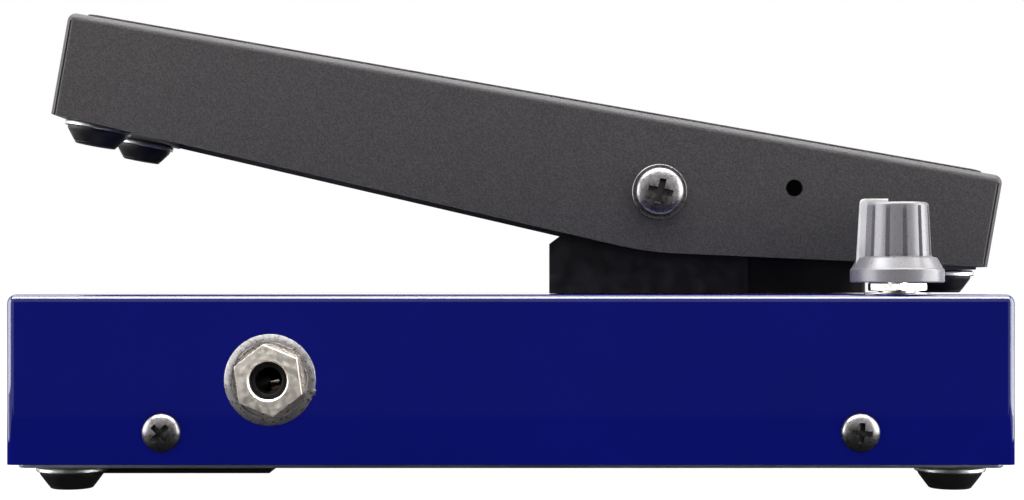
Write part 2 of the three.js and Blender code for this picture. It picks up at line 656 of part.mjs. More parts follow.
// The side view of the folded tray. Its lower edge can be lowered to make room for the bevel.
function treadleOutline(drop = 0) {
  const { toe, heel, top, toeEdge, heelEdge, bellyX, belly, bellyRound } = TREADLE;
  const frontSlope = (belly - toeEdge) / (bellyX - toe);
  const rearSlope = (heelEdge - belly) / (heel - bellyX);
  const outline = new THREE.Shape();
  outline.moveTo(toe, top);
  outline.lineTo(toe, toeEdge - drop);
  outline.lineTo(bellyX - bellyRound, belly - bellyRound * frontSlope - drop);
  outline.quadraticCurveTo(bellyX, belly - drop, bellyX + bellyRound, belly + bellyRound * rearSlope - drop);
  outline.lineTo(heel, heelEdge - drop);
  outline.lineTo(heel, top);
  return outline;
}

function treadleShell() {
  const half = TREADLE.width / 2;
  const inner = half - SHEET;
  const { toe, heel, top, toeEdge, belly } = TREADLE;
  const rounded = solid(side(treadleOutline(2 * BEND), -half, half, BEND));
  const tray = rounded
    .intersect(solid(side(treadleOutline(), -half - PAST, half + PAST)))
    .subtract(solid(block(toe + SHEET, heel - SHEET, -inner, inner, 2 * belly, top - SHEET)));
  const lipEnd = toe + TOE_LIP.length;
  const toeLip = block(toe + SINK, lipEnd, -inner - SINK, inner + SINK, toeEdge, toeEdge + SHEET);
  const heelLip = atHeelBumper(block(HEEL_LIP.front, HEEL_LIP.back, -inner, inner, 0, SHEET));
  const holes = [
    barY(0, 0, -half - PAST, half + PAST, PIVOT.bush + PLAY),
    barY(SIDE_HOLE.x, SIDE_HOLE.z, -half - PAST, half + PAST, SIDE_HOLE.radius),
  ];
  for (const way of [-1, 1]) {
    const y = way * BUMPER_SPREAD;
    holes.push(
      barZ(way * SECTOR.screwX, 0, top - SHEET - PAST, top + PAST, SMALL_SCREW.shank + PLAY),
      barZ(TOE_LIP.bumperX, y, toeEdge - PAST, toeEdge + SHEET + PAST, CUP.stud + PLAY),
      atHeelBumper(barZ(0, y, -PAST, SHEET + PAST, CUP.stud + PLAY)),
    );
  }
  return cut(tray.add(solid(toeLip)).add(solid(heelLip)), ...holes);
}

function gripMat() {
  const [half, bottom] = [MAT.width / 2, TREADLE.top + FIT];
  return block(MAT.toe, MAT.heel, -half, half, bottom, bottom + MAT.thickness);
}

// The sector hangs from the treadle's top, and its teeth are cut about the pivot.
function sectorGear() {
  const flangeTop = TREADLE.top - SHEET - FIT;
  const pitch = THREE.MathUtils.degToRad(360 * GEAR.module / (2 * GEAR.sectorRadius));
  const first = THREE.MathUtils.degToRad(SECTOR.firstTooth) + TREADLE.slope;
  const root = GEAR.sectorRadius - GEAR.dedendum;
  const last = first + (SECTOR.teeth - 1) * pitch;
  const rim = [[root, first - GEAR.rimEnd * pitch]];
  for (let tooth = 0; tooth < SECTOR.teeth; tooth += 1) {
    rim.push(...toothCorners(GEAR.sectorRadius, first + tooth * pitch));
  }
  rim.push([root, last + GEAR.rimEnd * pitch]);
  const outline = [
    [-SECTOR.waist, flangeTop - SINK],
    ...rim.map(([radius, angle]) => [radius * Math.sin(angle), -radius * Math.cos(angle)]),
    [SECTOR.waist, flangeTop - SINK],
  ];
  const half = SECTOR.thickness / 2;
  const { flange, flangeLength, screwX } = SECTOR;
  const plate = join(
    side(outline, -half, half),
    block(-flangeLength / 2, flangeLength / 2, -flange / 2, flange / 2, flangeTop - SHEET, flangeTop),
  );
  return cut(
    plate,
    barY(0, SECTOR.windowZ, -half - PAST, half + PAST, SECTOR.window),
    sectorScrewHole(-screwX),
    sectorScrewHole(screwX),
  );
}

// Room for one sector screw: its shank through the flange, and its head in the plate below.
function sectorScrewHole(x) {
  const seat = TREADLE.top - 2 * SHEET - FIT;
  const [low, high] = [seat - 2 * SMALL_SCREW.headHeight, seat + 2 * SHEET];
  const [head, shank] = [SMALL_SCREW.head + PLAY, SMALL_SCREW.shank + PLAY];
  const profile = [[0, low], [head, low], [head, seat], [shank, seat], [shank, high], [0, high]]
    .map(([radius, z]) => new THREE.Vector2(radius, z));
  return new THREE.LatheGeometry(profile, ROUND).rotateX(Math.PI / 2).translate(x, 0, 0);
}

function sectorScrew(x) {
  const seat = TREADLE.top - 2 * SHEET - 2 * FIT;
  return join(
    barZ(x, 0, seat - SMALL_SCREW.headHeight, seat, SMALL_SCREW.crown, SMALL_SCREW.head),
    barZ(x, 0, seat - SINK, TREADLE.top - FIT, SMALL_SCREW.shank),
  );
}

// A flanged sleeve pressed into one side of the treadle, turning on the pivot screw.
function pivotBush(way) {
  const span = (inner, outer) => lowFirst(way * inner, way * outer);
  const wall = TREADLE.width / 2;
  const flangeOuter = wall - SHEET - FIT;
  const flangeInner = pedestalOuter + 2 * FIT;
  const sleeve = join(
    barY(0, 0, ...span(flangeInner, flangeOuter), PIVOT.bushFlange),
    barY(0, 0, ...span(flangeInner, wall), PIVOT.bush),
  );
  return cut(sleeve, barY(0, 0, ...span(flangeInner - PAST, wall + PAST), PIVOT.screw + PLAY));
}

addPiece('treadle_shell', treadleShell(), POWDER, treadle);
addPiece('grip_mat', gripMat(), MAT_BLACK, treadle);
addPiece('sector_gear', sectorGear(), BRASS, treadle);
for (const [end, way] of ENDS) {
  addPiece(`sector_screw_${end}`, sectorScrew(way * SECTOR.screwX), ZINC, treadle);
}
for (const [label, way] of LONG_SIDES) {
  const [y, [heelX, heelZ]] = [way * BUMPER_SPREAD, heelBumper];
  addPiece(`pivot_bush_${label}`, pivotBush(way), NYLON, treadle);
  addBumper(`toe_bumper_${label}`, treadle, TOE_LIP.bumperX, y, TREADLE.toeEdge);
  addBumper(`heel_bumper_${label}`, treadle, heelX, y, heelZ, -TREADLE.slope);
}

// ---- origin: on the ground, under the middle of the whole pedal ---------------------------------------

const extent = new THREE.Box3().setFromObject(pedal, true);
pedal.position.x = -(extent.min.x + extent.max.x) / 2;

export default pedal;
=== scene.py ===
"""Treadle volume pedal: the looks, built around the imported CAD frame. Shapes are drawn in millimetres."""

import json
from math import atan2, cos, pi, radians, sin, sqrt

import bmesh
import bpy
from mathutils import Matrix, Vector


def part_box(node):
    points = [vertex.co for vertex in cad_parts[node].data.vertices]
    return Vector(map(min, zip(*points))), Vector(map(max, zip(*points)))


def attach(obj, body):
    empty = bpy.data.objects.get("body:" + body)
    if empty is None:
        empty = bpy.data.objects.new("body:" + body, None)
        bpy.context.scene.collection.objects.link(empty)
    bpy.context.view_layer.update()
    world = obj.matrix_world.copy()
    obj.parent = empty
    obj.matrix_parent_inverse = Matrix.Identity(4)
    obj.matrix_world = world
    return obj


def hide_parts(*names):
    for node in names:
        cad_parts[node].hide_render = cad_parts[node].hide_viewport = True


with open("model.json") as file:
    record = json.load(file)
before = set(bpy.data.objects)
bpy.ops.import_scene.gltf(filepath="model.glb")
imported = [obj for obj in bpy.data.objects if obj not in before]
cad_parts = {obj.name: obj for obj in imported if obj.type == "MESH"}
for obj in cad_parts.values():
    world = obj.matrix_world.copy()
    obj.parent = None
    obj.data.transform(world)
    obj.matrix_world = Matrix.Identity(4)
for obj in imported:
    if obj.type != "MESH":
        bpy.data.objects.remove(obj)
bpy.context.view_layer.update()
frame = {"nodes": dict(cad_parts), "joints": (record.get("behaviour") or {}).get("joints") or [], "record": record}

MM = 0.001

# ---- the frame, in millimetres ---------------------------------------------------------------------


def low(node):
    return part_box(node)[0] / MM


def high(node):
    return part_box(node)[1] / MM


def middle(node):
    return (low(node) + high(node)) / 2


JOINTS = {joint["name"]: joint for joint in frame["joints"]}
MOUNTS = {mount["name"]: mount for mount in frame["record"]["mounts"]}
PIVOT = Vector(JOINTS["treadle_rock"]["pos_m"]) / MM
TREAD_AXIS = MOUNTS["tread_face"]["axis"]
SLOPE = atan2(TREAD_AXIS[0], TREAD_AXIS[2])

# The treadle's own frame: x along its top from the pivot, z square to its top.
TREADLE = Matrix.Translation(PIVOT) @ Matrix.Rotation(SLOPE, 4, "Y")
TREADLE_LOW = Vector([1e9] * 3)
TREADLE_HIGH = Vector([-1e9] * 3)
for vertex in frame["nodes"]["treadle_shell"].data.vertices:
    point = TREADLE.inverted() @ (vertex.co / MM)
    TREADLE_LOW = Vector(map(min, TREADLE_LOW, point))
    TREADLE_HIGH = Vector(map(max, TREADLE_HIGH, point))

SHEET = 2.0                       # sheet steel of the base, treadle and pedestal
BEND = 2.3                        # outer radius of its folds
BEND_STEPS = 8
FINE = 64                         # steps round a turned piece
COARSE = 32

# Which way a piece faces: its own x, y and z axes in the row frame.
FACINGS = {
    "near": ((1, 0, 0), (0, 0, 1), (0, -1, 0)),
    "far": ((-1, 0, 0), (0, 0, 1), (0, 1, 0)),
    "up": ((1, 0, 0), (0, 1, 0), (0, 0, 1)),
    "down": ((1, 0, 0), (0, -1, 0), (0, 0, -1)),
    "toe": ((0, -1, 0), (0, 0, 1), (-1, 0, 0)),
}


def facing(way, origin, turn=0.0, parent=None):
    """A piece's place: its z axis points the named way, turned anticlockwise as seen by who looks at it."""
    rotation = Matrix(FACINGS[way]).transposed().to_4x4()
    matrix = Matrix.Translation(Vector(origin)) @ rotation @ Matrix.Rotation(turn, 4, "Z")
    return parent @ matrix if parent else matrix


# ---- mesh tools ------------------------------------------------------------------------------------


def finished(name, mesh, material, body=None, stands_for=(), smooth=35):
    """Turns a bmesh in millimetres into an object of the scene, riding on its body."""
    bmesh.ops.recalc_face_normals(mesh, faces=mesh.faces)
    bmesh.ops.scale(mesh, vec=(MM, MM, MM), verts=mesh.verts)
    data = bpy.data.meshes.new(name)
    mesh.to_mesh(data)
    mesh.free()
    piece = bpy.data.objects.new(name, data)
    bpy.context.scene.collection.objects.link(piece)
    data.shade_smooth()
    data.set_sharp_from_angle(angle=radians(smooth))
    if material:
        data.materials.append(material)
    if body:
        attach(piece, body)
    if stands_for:
        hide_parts(*stands_for)
    return piece


def even_normals(piece):
    normals = piece.modifiers.new("even normals", "WEIGHTED_NORMAL")
    normals.keep_sharp = True
    normals.weight = 80
    return piece


def eased(piece, width=0.15, angle=40):
    """Takes the sharpness off a piece's edges, so that they catch the light."""
    edges = piece.modifiers.new("edges", "BEVEL")
    edges.width = width * MM
    edges.segments = 2
    edges.limit_method = "ANGLE"
    edges.angle_limit = radians(angle)
    return piece


def combine(first, second, operation):
    """A bmesh that is first cut by, joined with or limited to second. Both are bmeshes in millimetres."""
    objects = []
    for number, mesh in enumerate((first, second)):
        bmesh.ops.recalc_face_normals(mesh, faces=mesh.faces)
        data = bpy.data.meshes.new("part")
        mesh.to_mesh(data)
        mesh.free()
        piece = bpy.data.objects.new(f"part {number}", data)
        bpy.context.scene.collection.objects.link(piece)
        objects.append(piece)
    step = objects[0].modifiers.new("combine", "BOOLEAN")
    step.operation = operation
    step.solver = "EXACT"
    step.use_self = operation == "DIFFERENCE"
    step.object = objects[1]
    depsgraph = bpy.context.evaluated_depsgraph_get()
    data = bpy.data.meshes.new_from_object(objects[0].evaluated_get(depsgraph))
    result = bmesh.new()
    result.from_mesh(data)
    for piece in objects:
        spare = piece.data
        bpy.data.objects.remove(piece)
        bpy.data.meshes.remove(spare)
    bpy.data.meshes.remove(data)
    return result


def cut(mesh, *tools):
    for tool in tools:
        mesh = combine(mesh, tool, "DIFFERENCE")
    return mesh


def join(mesh, *others):
    for other in others:
        mesh = combine(mesh, other, "UNION")
    return mesh


def gather(*meshes):
    """Several separate solids in one bmesh."""
    whole = bmesh.new()
    for mesh in meshes:
        data = bpy.data.meshes.new("part")
        mesh.to_mesh(data)
        mesh.free()
        whole.from_mesh(data)
        bpy.data.meshes.remove(data)
    return whole


def place(mesh, matrix):
    bmesh.ops.transform(mesh, matrix=matrix, verts=mesh.verts)
    return mesh


def block(x0, x1, y0, y1, z0, z1, bevel=0.0, steps=3):
    mesh = bmesh.new()
    bmesh.ops.create_cube(mesh, size=1)
    bmesh.ops.scale(mesh, vec=(x1 - x0, y1 - y0, z1 - z0), verts=mesh.verts)
    bmesh.ops.translate(mesh, vec=((x0 + x1) / 2, (y0 + y1) / 2, (z0 + z1) / 2), verts=mesh.verts)
    if bevel:
        round_edges(mesh, mesh.edges, bevel, steps)
    return mesh


def round_edges(mesh, edges, radius, steps=3):
    bmesh.ops.bevel(
        mesh, geom=list(edges), offset=radius, segments=steps, profile=0.5, affect="EDGES", clamp_overlap=True
    )
    return mesh


def prism(outline, z0, z1, bevel=0.0, steps=2):
    """An outline of (x, y) points, carried from z0 to z1."""
    mesh = bmesh.new()
    bottom = [mesh.verts.new((x, y, z0)) for x, y in outline]
    top = [mesh.verts.new((x, y, z1)) for x, y in outline]
    caps = [mesh.faces.new(bottom[::-1]), mesh.faces.new(top)]
    for number in range(len(outline)):
        after = (number + 1) % len(outline)
        mesh.faces.new((bottom[number], bottom[after], top[after], top[number]))
    if bevel:
        round_edges(mesh, {edge for cap in caps for edge in cap.edges}, bevel, steps)
    return mesh


def side_view(outline, y0, y1, bevel=0.0, steps=2):
    """A side-view outline of (x, z) points, carried across from y0 to y1."""
    return place(prism(outline, -y1, -y0, bevel, steps), Matrix.Rotation(pi / 2, 4, "X"))


def turned(profile, steps=FINE, ring=False):
    """A lathe shape about z of (radius, height) points. A ring's profile closes on itself."""
    mesh = bmesh.new()
    rows = []
    for radius, height in profile:
        if radius < 1e-6:
            rows.append([mesh.verts.new((0, 0, height))])
            continue
        angles = [2 * pi * step / steps for step in range(steps)]
        rows.append([mesh.verts.new((radius * cos(a), radius * sin(a), height)) for a in angles])
    pairs = list(zip(rows, rows[1:]))
    if ring:
        pairs.append((rows[-1], rows[0]))
    for one, two in pairs:
        for step in range(steps):
            after = (step + 1) % steps
            corners = [one[step % len(one)], one[after % len(one)]]
            corners += [two[after % len(two)], two[step % len(two)]]
            corners = list(dict.fromkeys(corners))
            if len(corners) > 2:
                mesh.faces.new(corners)
    return mesh


def bar(radius, z0, z1, steps=COARSE):
    return turned([(0, z0), (radius, z0), (radius, z1), (0, z1)], steps)


def arc(centre, radius, start, end, steps=6):
    """Points round a part circle, in degrees."""
    points = []
    for step in range(steps + 1):
        angle = radians(start + (end - start) * step / steps)
        points.append((centre[0] + radius * cos(angle), centre[1] + radius * sin(angle)))
    return points


def hexagon(flats, turn=0.0):
    radius = flats / sqrt(3)
    return [(radius * cos(turn + pi / 3 * n), radius * sin(turn + pi / 3 * n)) for n in range(6)]


# ---- materials -------------------------------------------------------------------------------------


def linear(red, green, blue):
    """A colour as the shader wants it, from its 0 to 255 screen values."""
    return tuple((value / 255 / 12.92 if value < 11 else ((value / 255 + 0.055) / 1.055) ** 2.4)
                 for value in (red, green, blue)) + (1.0,)


class Finish:
    """One material: a principled shader and the nodes that feed it."""

    def __init__(self, name, slot, colour, roughness, **sockets):
        self.material = bpy.data.materials.new(name)
        self.material.use_nodes = True
        self.material["slot"] = slot
        self.nodes = self.material.node_tree.nodes
        self.links = self.material.node_tree.links
        self.shader = self.nodes["Principled BSDF"]
        self.place = self.nodes.new("ShaderNodeTexCoord").outputs["Object"]
        self.colour = colour
        self.height = None
        self.shader.inputs["Base Color"].default_value = colour
        self.shader.inputs["Roughness"].default_value = roughness
        for socket, value in sockets.items():
            self.shader.inputs[socket.replace("_", " ")].default_value = value

    def stretched(self, scale):
        mapping = self.nodes.new("ShaderNodeMapping")
        mapping.inputs["Scale"].default_value = scale
        self.links.new(self.place, mapping.inputs["Vector"])
        return mapping.outputs["Vector"]

    def noise(self, size, detail=2.0, roughness=0.5, stretch=None):
        """Noise whose grains are about this many millimetres."""
        node = self.nodes.new("ShaderNodeTexNoise")
        node.inputs["Scale"].default_value = 1 / (size * MM)
        node.inputs["Detail"].default_value = detail
        node.inputs["Roughness"].default_value = roughness
        self.links.new(self.stretched(stretch) if stretch else self.place, node.inputs["Vector"])
        return node.outputs["Fac"]

    def cells(self, size):
        node = self.nodes.new("ShaderNodeTexVoronoi")
        node.inputs["Scale"].default_value = 1 / (size * MM)
        self.links.new(self.place, node.inputs["Vector"])
        return node.outputs["Distance"]

    def spread(self, value, start, end, low_out, high_out):
        node = self.nodes.new("ShaderNodeMapRange")
        sockets = ("From Min", "From Max", "To Min", "To Max")
        for socket, number in zip(sockets, (start, end, low_out, high_out)):
            node.inputs[socket].default_value = number
        self.links.new(value, node.inputs["Value"])
        return node.outputs["Result"]

    def tint(self, value, *stops):
        """Colours the surface along the value, by (position, colour) stops."""
        ramp = self.nodes.new("ShaderNodeValToRGB")
        elements = ramp.color_ramp.elements
        while len(elements) < len(stops):
            elements.new(0.5)
        for element, (position, colour) in zip(elements, stops):
            element.position = position
            element.color = colour
        self.links.new(value, ramp.inputs["Fac"])
        self.links.new(ramp.outputs["Color"], self.shader.inputs["Base Color"])
        return self

    def gloss(self, value, start, end, low_out, high_out):
        self.links.new(self.spread(value, start, end, low_out, high_out), self.shader.inputs["Roughness"])
        return self

    def bump(self, value, depth):
        """Relief of this depth in millimetres. Several bumps add up."""
        node = self.nodes.new("ShaderNodeBump")
        node.inputs["Strength"].default_value = 1.0
        node.inputs["Distance"].default_value = depth * MM
        self.links.new(value, node.inputs["Height"])
        if self.height:
            self.links.new(self.height, node.inputs["Normal"])
        self.height = node.outputs["Normal"]
        self.links.new(self.height, self.shader.inputs["Normal"])
        return self


def shade(colour, factor):
    return tuple(channel * factor for channel in colour[:3]) + (1.0,)


def varied(finish, value, amount):
    """A colour that wanders a little to each side of the finish's own."""
    finish.tint(value, (0.3, shade(finish.colour, 1 - amount)), (0.7, shade(finish.colour, 1 + amount)))
    return finish


def blue_enamel():
    finish = Finish("gloss blue enamel", "gloss_blue_paint", linear(9, 17, 115), 0.22,
                    Coat_Weight=1.0, Coat_Roughness=0.03, Coat_IOR=1.5, Specular_IOR_Level=0.0)
    varied(finish, finish.noise(22, 3), 0.06)
    finish.bump(finish.noise(1.6, 2), 0.0006)
    return finish.material


def powder_coat():
    finish = Finish("charcoal powder coat", "powder_coat", linear(50, 47, 49), 0.5, Specular_IOR_Level=0.24)
    grain = finish.noise(0.4, 3, 0.6)
    finish.tint(grain, (0.34, linear(40, 37, 39)), (0.5, linear(51, 48, 50)), (0.68, linear(64, 61, 63)))
    finish.gloss(grain, 0.3, 0.7, 0.42, 0.6)
    finish.bump(grain, 0.05)
    finish.bump(finish.noise(0.22, 2), 0.02)
    return finish.material


def satin_black():
    finish = Finish("satin black paint", "satin_black_paint", linear(8, 7, 8), 0.34, Specular_IOR_Level=0.3)
    varied(finish, finish.noise(9, 3), 0.12)
    finish.gloss(finish.noise(4, 3), 0.3, 0.7, 0.28, 0.4)
    finish.bump(finish.noise(0.5, 2), 0.004)
    return finish.material


def grip_rubber():
    finish = Finish("grip mat rubber", "grip_rubber", linear(46, 45, 46), 0.85)
    grain = finish.cells(1.1)
    finish.tint(grain, (0.0, linear(64, 62, 63)), (0.8, linear(32, 31, 32)))
    finish.bump(grain, 0.18)
    finish.bump(finish.noise(0.3, 2), 0.05)
    return finish.material


def bumper_rubber():
    finish = Finish("bumper rubber", "bumper_rubber", linear(12, 12, 14), 0.5, Specular_IOR_Level=0.25)
    varied(finish, finish.noise(3, 3), 0.25)
    finish.gloss(finish.noise(2, 3), 0.3, 0.7, 0.4, 0.6)
    finish.bump(finish.noise(0.4, 2), 0.01)
    return finish.material


def metal(name, slot, colour, roughness, grain=0.6, depth=0.004, stretch=None):
    finish = Finish(name, slot, colour, roughness, Metallic=1.0)
    value = finish.noise(grain, 3, 0.6, stretch)
    varied(finish, value, 0.08)
    finish.gloss(value, 0.3, 0.7, roughness * 0.8, roughness * 1.25)
    finish.bump(value, depth)
    return finish


def circular_brushing(finish, centre, axis, depth):
    """Fine rings about an axis, as a spinning tool leaves them."""
    offset = finish.nodes.new("ShaderNodeVectorMath")
    offset.operation = "SUBTRACT"
    finish.links.new(finish.place, offset.inputs[0])
    offset.inputs[1].default_value = tuple(Vector(centre) * MM)
    across = finish.nodes.new("ShaderNodeVectorMath")
    across.operation = "MULTIPLY"
    finish.links.new(offset.outputs["Vector"], across.inputs[0])
    across.inputs[1].default_value = tuple(0.0 if letter == axis else 1.0 for letter in "xyz")
    length = finish.nodes.new("ShaderNodeVectorMath")
    length.operation = "LENGTH"
    finish.links.new(across.outputs["Vector"], length.inputs[0])
    rings = finish.nodes.new("ShaderNodeTexNoise")
    rings.noise_dimensions = "1D"
    rings.inputs["Scale"].default_value = 1 / (0.12 * MM)
    rings.inputs["Detail"].default_value = 2.0
    finish.links.new(length.outputs["Value"], rings.inputs["W"])
    finish.bump(rings.outputs["Fac"], depth)
    return finish


def plastic(name, slot, colour, roughness, grain=0.5, depth=0.01, specular=0.5):
    finish = Finish(name, slot, colour, roughness, Specular_IOR_Level=specular)
    value = finish.noise(grain, 3)
    varied(finish, finish.noise(6, 2), 0.06)
    finish.gloss(value, 0.3, 0.7, roughness * 0.85, roughness * 1.15)
    finish.bump(value, depth)
    return finish.material


def board_laminate():
    finish = Finish("board laminate", "board_laminate", linear(38, 92, 58), 0.35)
    tracks = finish.noise(2.2, 0, 0.0, (1.0, 0.25, 1.0))
    finish.tint(tracks, (0.48, linear(26, 74, 44)), (0.52, linear(44, 104, 66)))
    finish.bump(tracks, 0.03)
    return finish.material


BLUE = blue_enamel()
POWDER = powder_coat()
BLACK = satin_black()
GRIP = grip_rubber()
RUBBER = bumper_rubber()
ZINC = metal("zinc plate", "zinc_plate", linear(178, 178, 180), 0.34, 1.2, 0.006).material
STEEL = metal("rolled steel plate", "zinc_plate", linear(168, 168, 170), 0.38, 1.5, 0.01, (0.06, 1, 1)).material
NICKEL = metal("polished nickel", "polished_nickel", linear(222, 214, 204), 0.16, 1.4, 0.001).material
SATIN_NICKEL = metal("satin nickel", "polished_nickel", linear(226, 219, 209), 0.38, 1.4, 0.001).material
DARK_NICKEL = metal("dark nickel", "dark_nickel", linear(112, 109, 110), 0.3, 0.9, 0.001).material
BRASS = metal("cut brass", "gear_brass", linear(200, 160, 92), 0.3, 0.8, 0.006).material
PLASTIC = plastic("black plastic", "black_plastic", linear(10, 10, 11), 0.42, specular=0.2)
NYLON = plastic("natural nylon", "nylon", linear(216, 210, 196), 0.45)
GREY = plastic("knob grey", "knob_grey", linear(130, 128, 132), 0.3, 0.7, 0.004)
WHITE = plastic("pointer white", "pointer_white", linear(244, 244, 242), 0.4, 0.7, 0.004)
LAMINATE = board_laminate()


def battery_wrap():
    """A plain printed can: a dark body with one lighter band, no lettering."""
    finish = Finish("battery wrap", "battery_case", linear(46, 48, 54), 0.3, Coat_Weight=0.4)
    split = finish.nodes.new("ShaderNodeSeparateXYZ")
    finish.links.new(finish.place, split.inputs["Vector"])
    ends = [low("battery")[0] * MM, high("battery")[0] * MM]
    along = finish.spread(split.outputs["X"], ends[0], ends[1], 0.0, 1.0)
    dark, band, band_end = linear(44, 46, 52), linear(176, 128, 58), linear(180, 132, 62)
    finish.tint(along, (0.66, dark), (0.665, band), (0.99, band_end))
    finish.bump(finish.noise(3, 2), 0.01)
    return finish.material


BATTERY = battery_wrap()


def jack_washer_finish(node):
    finish = metal(f"{node} brushed steel", "brushed_washer", linear(196, 192, 192), 0.3, 0.8, 0.0005)
    return circular_brushing(finish, middle(node), "y", 0.004).material


# ---- folded sheet ----------------------------------------------------------------------------------


def folded_tray(outline, y0, y1, bottom_edges):
    """A tray folded from sheet, open below: a side-view outline carried across, its upper and upright
    edges bent. The first bottom_edges stretches of the outline are the open side."""
    mesh = bmesh.new()
    rows = [[mesh.verts.new((x, y, z)) for x, z in outline] for y in (y0, y1)]
    count = len(outline)
    mesh.faces.new(rows[0])
    mesh.faces.new(rows[1][::-1])
    for number in range(bottom_edges, count):
        after = (number + 1) % count
        mesh.faces.new((rows[0][number], rows[0][after], rows[1][after], rows[1][number]))
    bmesh.ops.recalc_face_normals(mesh, faces=mesh.faces)
    round_edges(mesh, [edge for edge in mesh.edges if not edge.is_boundary], BEND, BEND_STEPS)
    data = bpy.data.meshes.new("tray")
    mesh.to_mesh(data)
    mesh.free()
    tray = bpy.data.objects.new("tray", data)
    bpy.context.scene.collection.objects.link(tray)
    wall = tray.modifiers.new("wall", "SOLIDIFY")
    wall.thickness = SHEET
    wall.offset = -1
    wall.use_even_offset = True
    depsgraph = bpy.context.evaluated_depsgraph_get()
    solid = bpy.data.meshes.new_from_object(tray.evaluated_get(depsgraph))
    result = bmesh.new()
    result.from_mesh(solid)
    bpy.data.objects.remove(tray)
    bpy.data.meshes.remove(solid)
    return result


def hole(way, centre, radius, depth, parent=None):
    return place(bar(radius, -depth, depth), facing(way, centre, parent=parent))


SLOT_HALF = 4.0                   # half the width of the sector gear's slot
SLOT_X = (-19.0, 19.0)            # its ends, from the pivot
BUSH_HOLE = 5.05
SCREW_HOLE = 2.8


def sector_slot(z0, z1):
    x, y = PIVOT[0], PIVOT[1]
    return block(x + SLOT_X[0], x + SLOT_X[1], y - SLOT_HALF, y + SLOT_HALF, z0, z1)


def base_shell():
    floor, roof = low("base_shell"), high("base_shell")
    outline = [(floor[0], floor[2]), (roof[0], floor[2]), (roof[0], roof[2]), (floor[0], roof[2])]
    shell = folded_tray(outline, floor[1], roof[1], 1)
    tools = [
        sector_slot(roof[2] - 3 * SHEET, roof[2] + SHEET),
        hole("up", middle("knob"), BUSH_HOLE, 20),
        hole("toe", (floor[0], middle("power_jack")[1], middle("power_jack")[2]), 5.8, 4),
    ]
    for side in ("near", "far"):
        face = floor[1] if side == "near" else roof[1]
        lead = "output_jack_nut" if side == "near" else "input_jack_nut"
        tools.append(hole(side, (middle(lead)[0], face, middle(lead)[2]), BUSH_HOLE, 4))
        for end in ("toe", "heel"):
            screw = middle(f"side_screw_{end}_{side}")
            tools.append(hole(side, (screw[0], face, screw[2]), SCREW_HOLE, 4))
        bolt = middle(f"pedestal_screw_{side}")
        tools.append(hole("up", (bolt[0], bolt[1], roof[2]), 2.3, 4))
    shell = cut(shell, gather(*tools))
    even_normals(finished("base_shell_form", shell, BLUE, "base", ["base_shell"]))


def rounded_corners(x0, x1, y0, y1, radius, steps=6):
    points = []
    for centre, start in (((x1 - radius, y0 + radius), -90), ((x1 - radius, y1 - radius), 0),
                          ((x0 + radius, y1 - radius), 90), ((x0 + radius, y0 + radius), 180)):
        points += arc(centre, radius, start, start + 90, steps)
    return points


PLATE = 1.5                       # sheet of the bottom plate


def bottom_plate():
    floor, roof = low("bottom_plate"), high("bottom_plate")
    top = floor[2] + PLATE
    tray = prism(rounded_corners(floor[0], roof[0], floor[1], roof[1], 2.5), floor[2], top, 0.3)
    inset, window = 12.0, (low("battery_door"), high("battery_door"))
    for side, face in ((1, floor[1]), (-1, roof[1])):
        flange = [(0.2, PLATE), (0.0, PLATE + 1), (0.0, roof[2] - floor[2])]
        flange += [(PLATE, roof[2] - floor[2]), (PLATE, PLATE + 1)]
        flange += arc((PLATE + 1.2, PLATE + 0.9), 1.2, 180, 270, 4) + [(PLATE + 1.2, 0.3), (0.6, 0.3)]
        section = [(face + side * y, floor[2] + z) for y, z in flange][::side]
        wall = prism(section, floor[0] + inset, roof[0] - inset)
        lengthwise = Matrix(((0, 0, 1, 0), (1, 0, 0, 0), (0, 1, 0, 0), (0, 0, 0, 1)))
        tray = join(tray, place(wall, lengthwise))
    tools = [block(low("battery")[0] - 0.3, window[1][0] - 1, low("battery")[1] - 0.3, high("battery")[1] + 0.3,
                   0, roof[2])]
    for side in ("near", "far"):
        face = floor[1] if side == "near" else roof[1]
        for end in ("toe", "heel"):
            screw, foot = middle(f"side_screw_{end}_{side}"), middle(f"foot_{end}_{side}_rubber")
            tools.append(hole(side, (screw[0], face, screw[2]), SCREW_HOLE, 4))
            tools.append(hole("up", (foot[0], foot[1], top), SCREW_HOLE, 4))
    finished("bottom_plate_form", cut(tray, gather(*tools)), STEEL, "base", ["bottom_plate"])


# ---- rubber feet and bumpers -----------------------------------------------------------------------

CUP_RADIUS = 9.1
CUP_HEIGHT = 1.6
BUMPER_HEIGHT = 6.2
GAP = 0.1


def cup_shape():
    """A pressed cup washer and the screw through it, seen from the sheet it hangs from: z is away from it."""
    washer = turned([
        (2.4, GAP), (CUP_RADIUS - 0.9, GAP), *arc((CUP_RADIUS - 0.9, GAP + 0.9), 0.9, -90, 0, 5),
        (CUP_RADIUS, GAP + CUP_HEIGHT - 0.2), (CUP_RADIUS - 0.2, GAP + CUP_HEIGHT),
        (CUP_RADIUS - 0.6, GAP + CUP_HEIGHT), (CUP_RADIUS - 0.8, GAP + CUP_HEIGHT - 0.4), (2.4, GAP + 1.0),
    ], FINE, ring=True)
    screw = turned([
        (0, -4.0), (2.1, -4.0), (2.4, -3.6), (2.4, GAP + 2.6), (2.7, GAP + 2.6), (2.7, GAP + 3.4),
        *arc((1.7, GAP + 3.5), 1.0, 0, 90, 4), (0, GAP + 4.6),
    ], COARSE)
    return gather(washer, cut(screw, cross_tool(1.9, 0.55, GAP + 3.2, GAP + 5.4)))


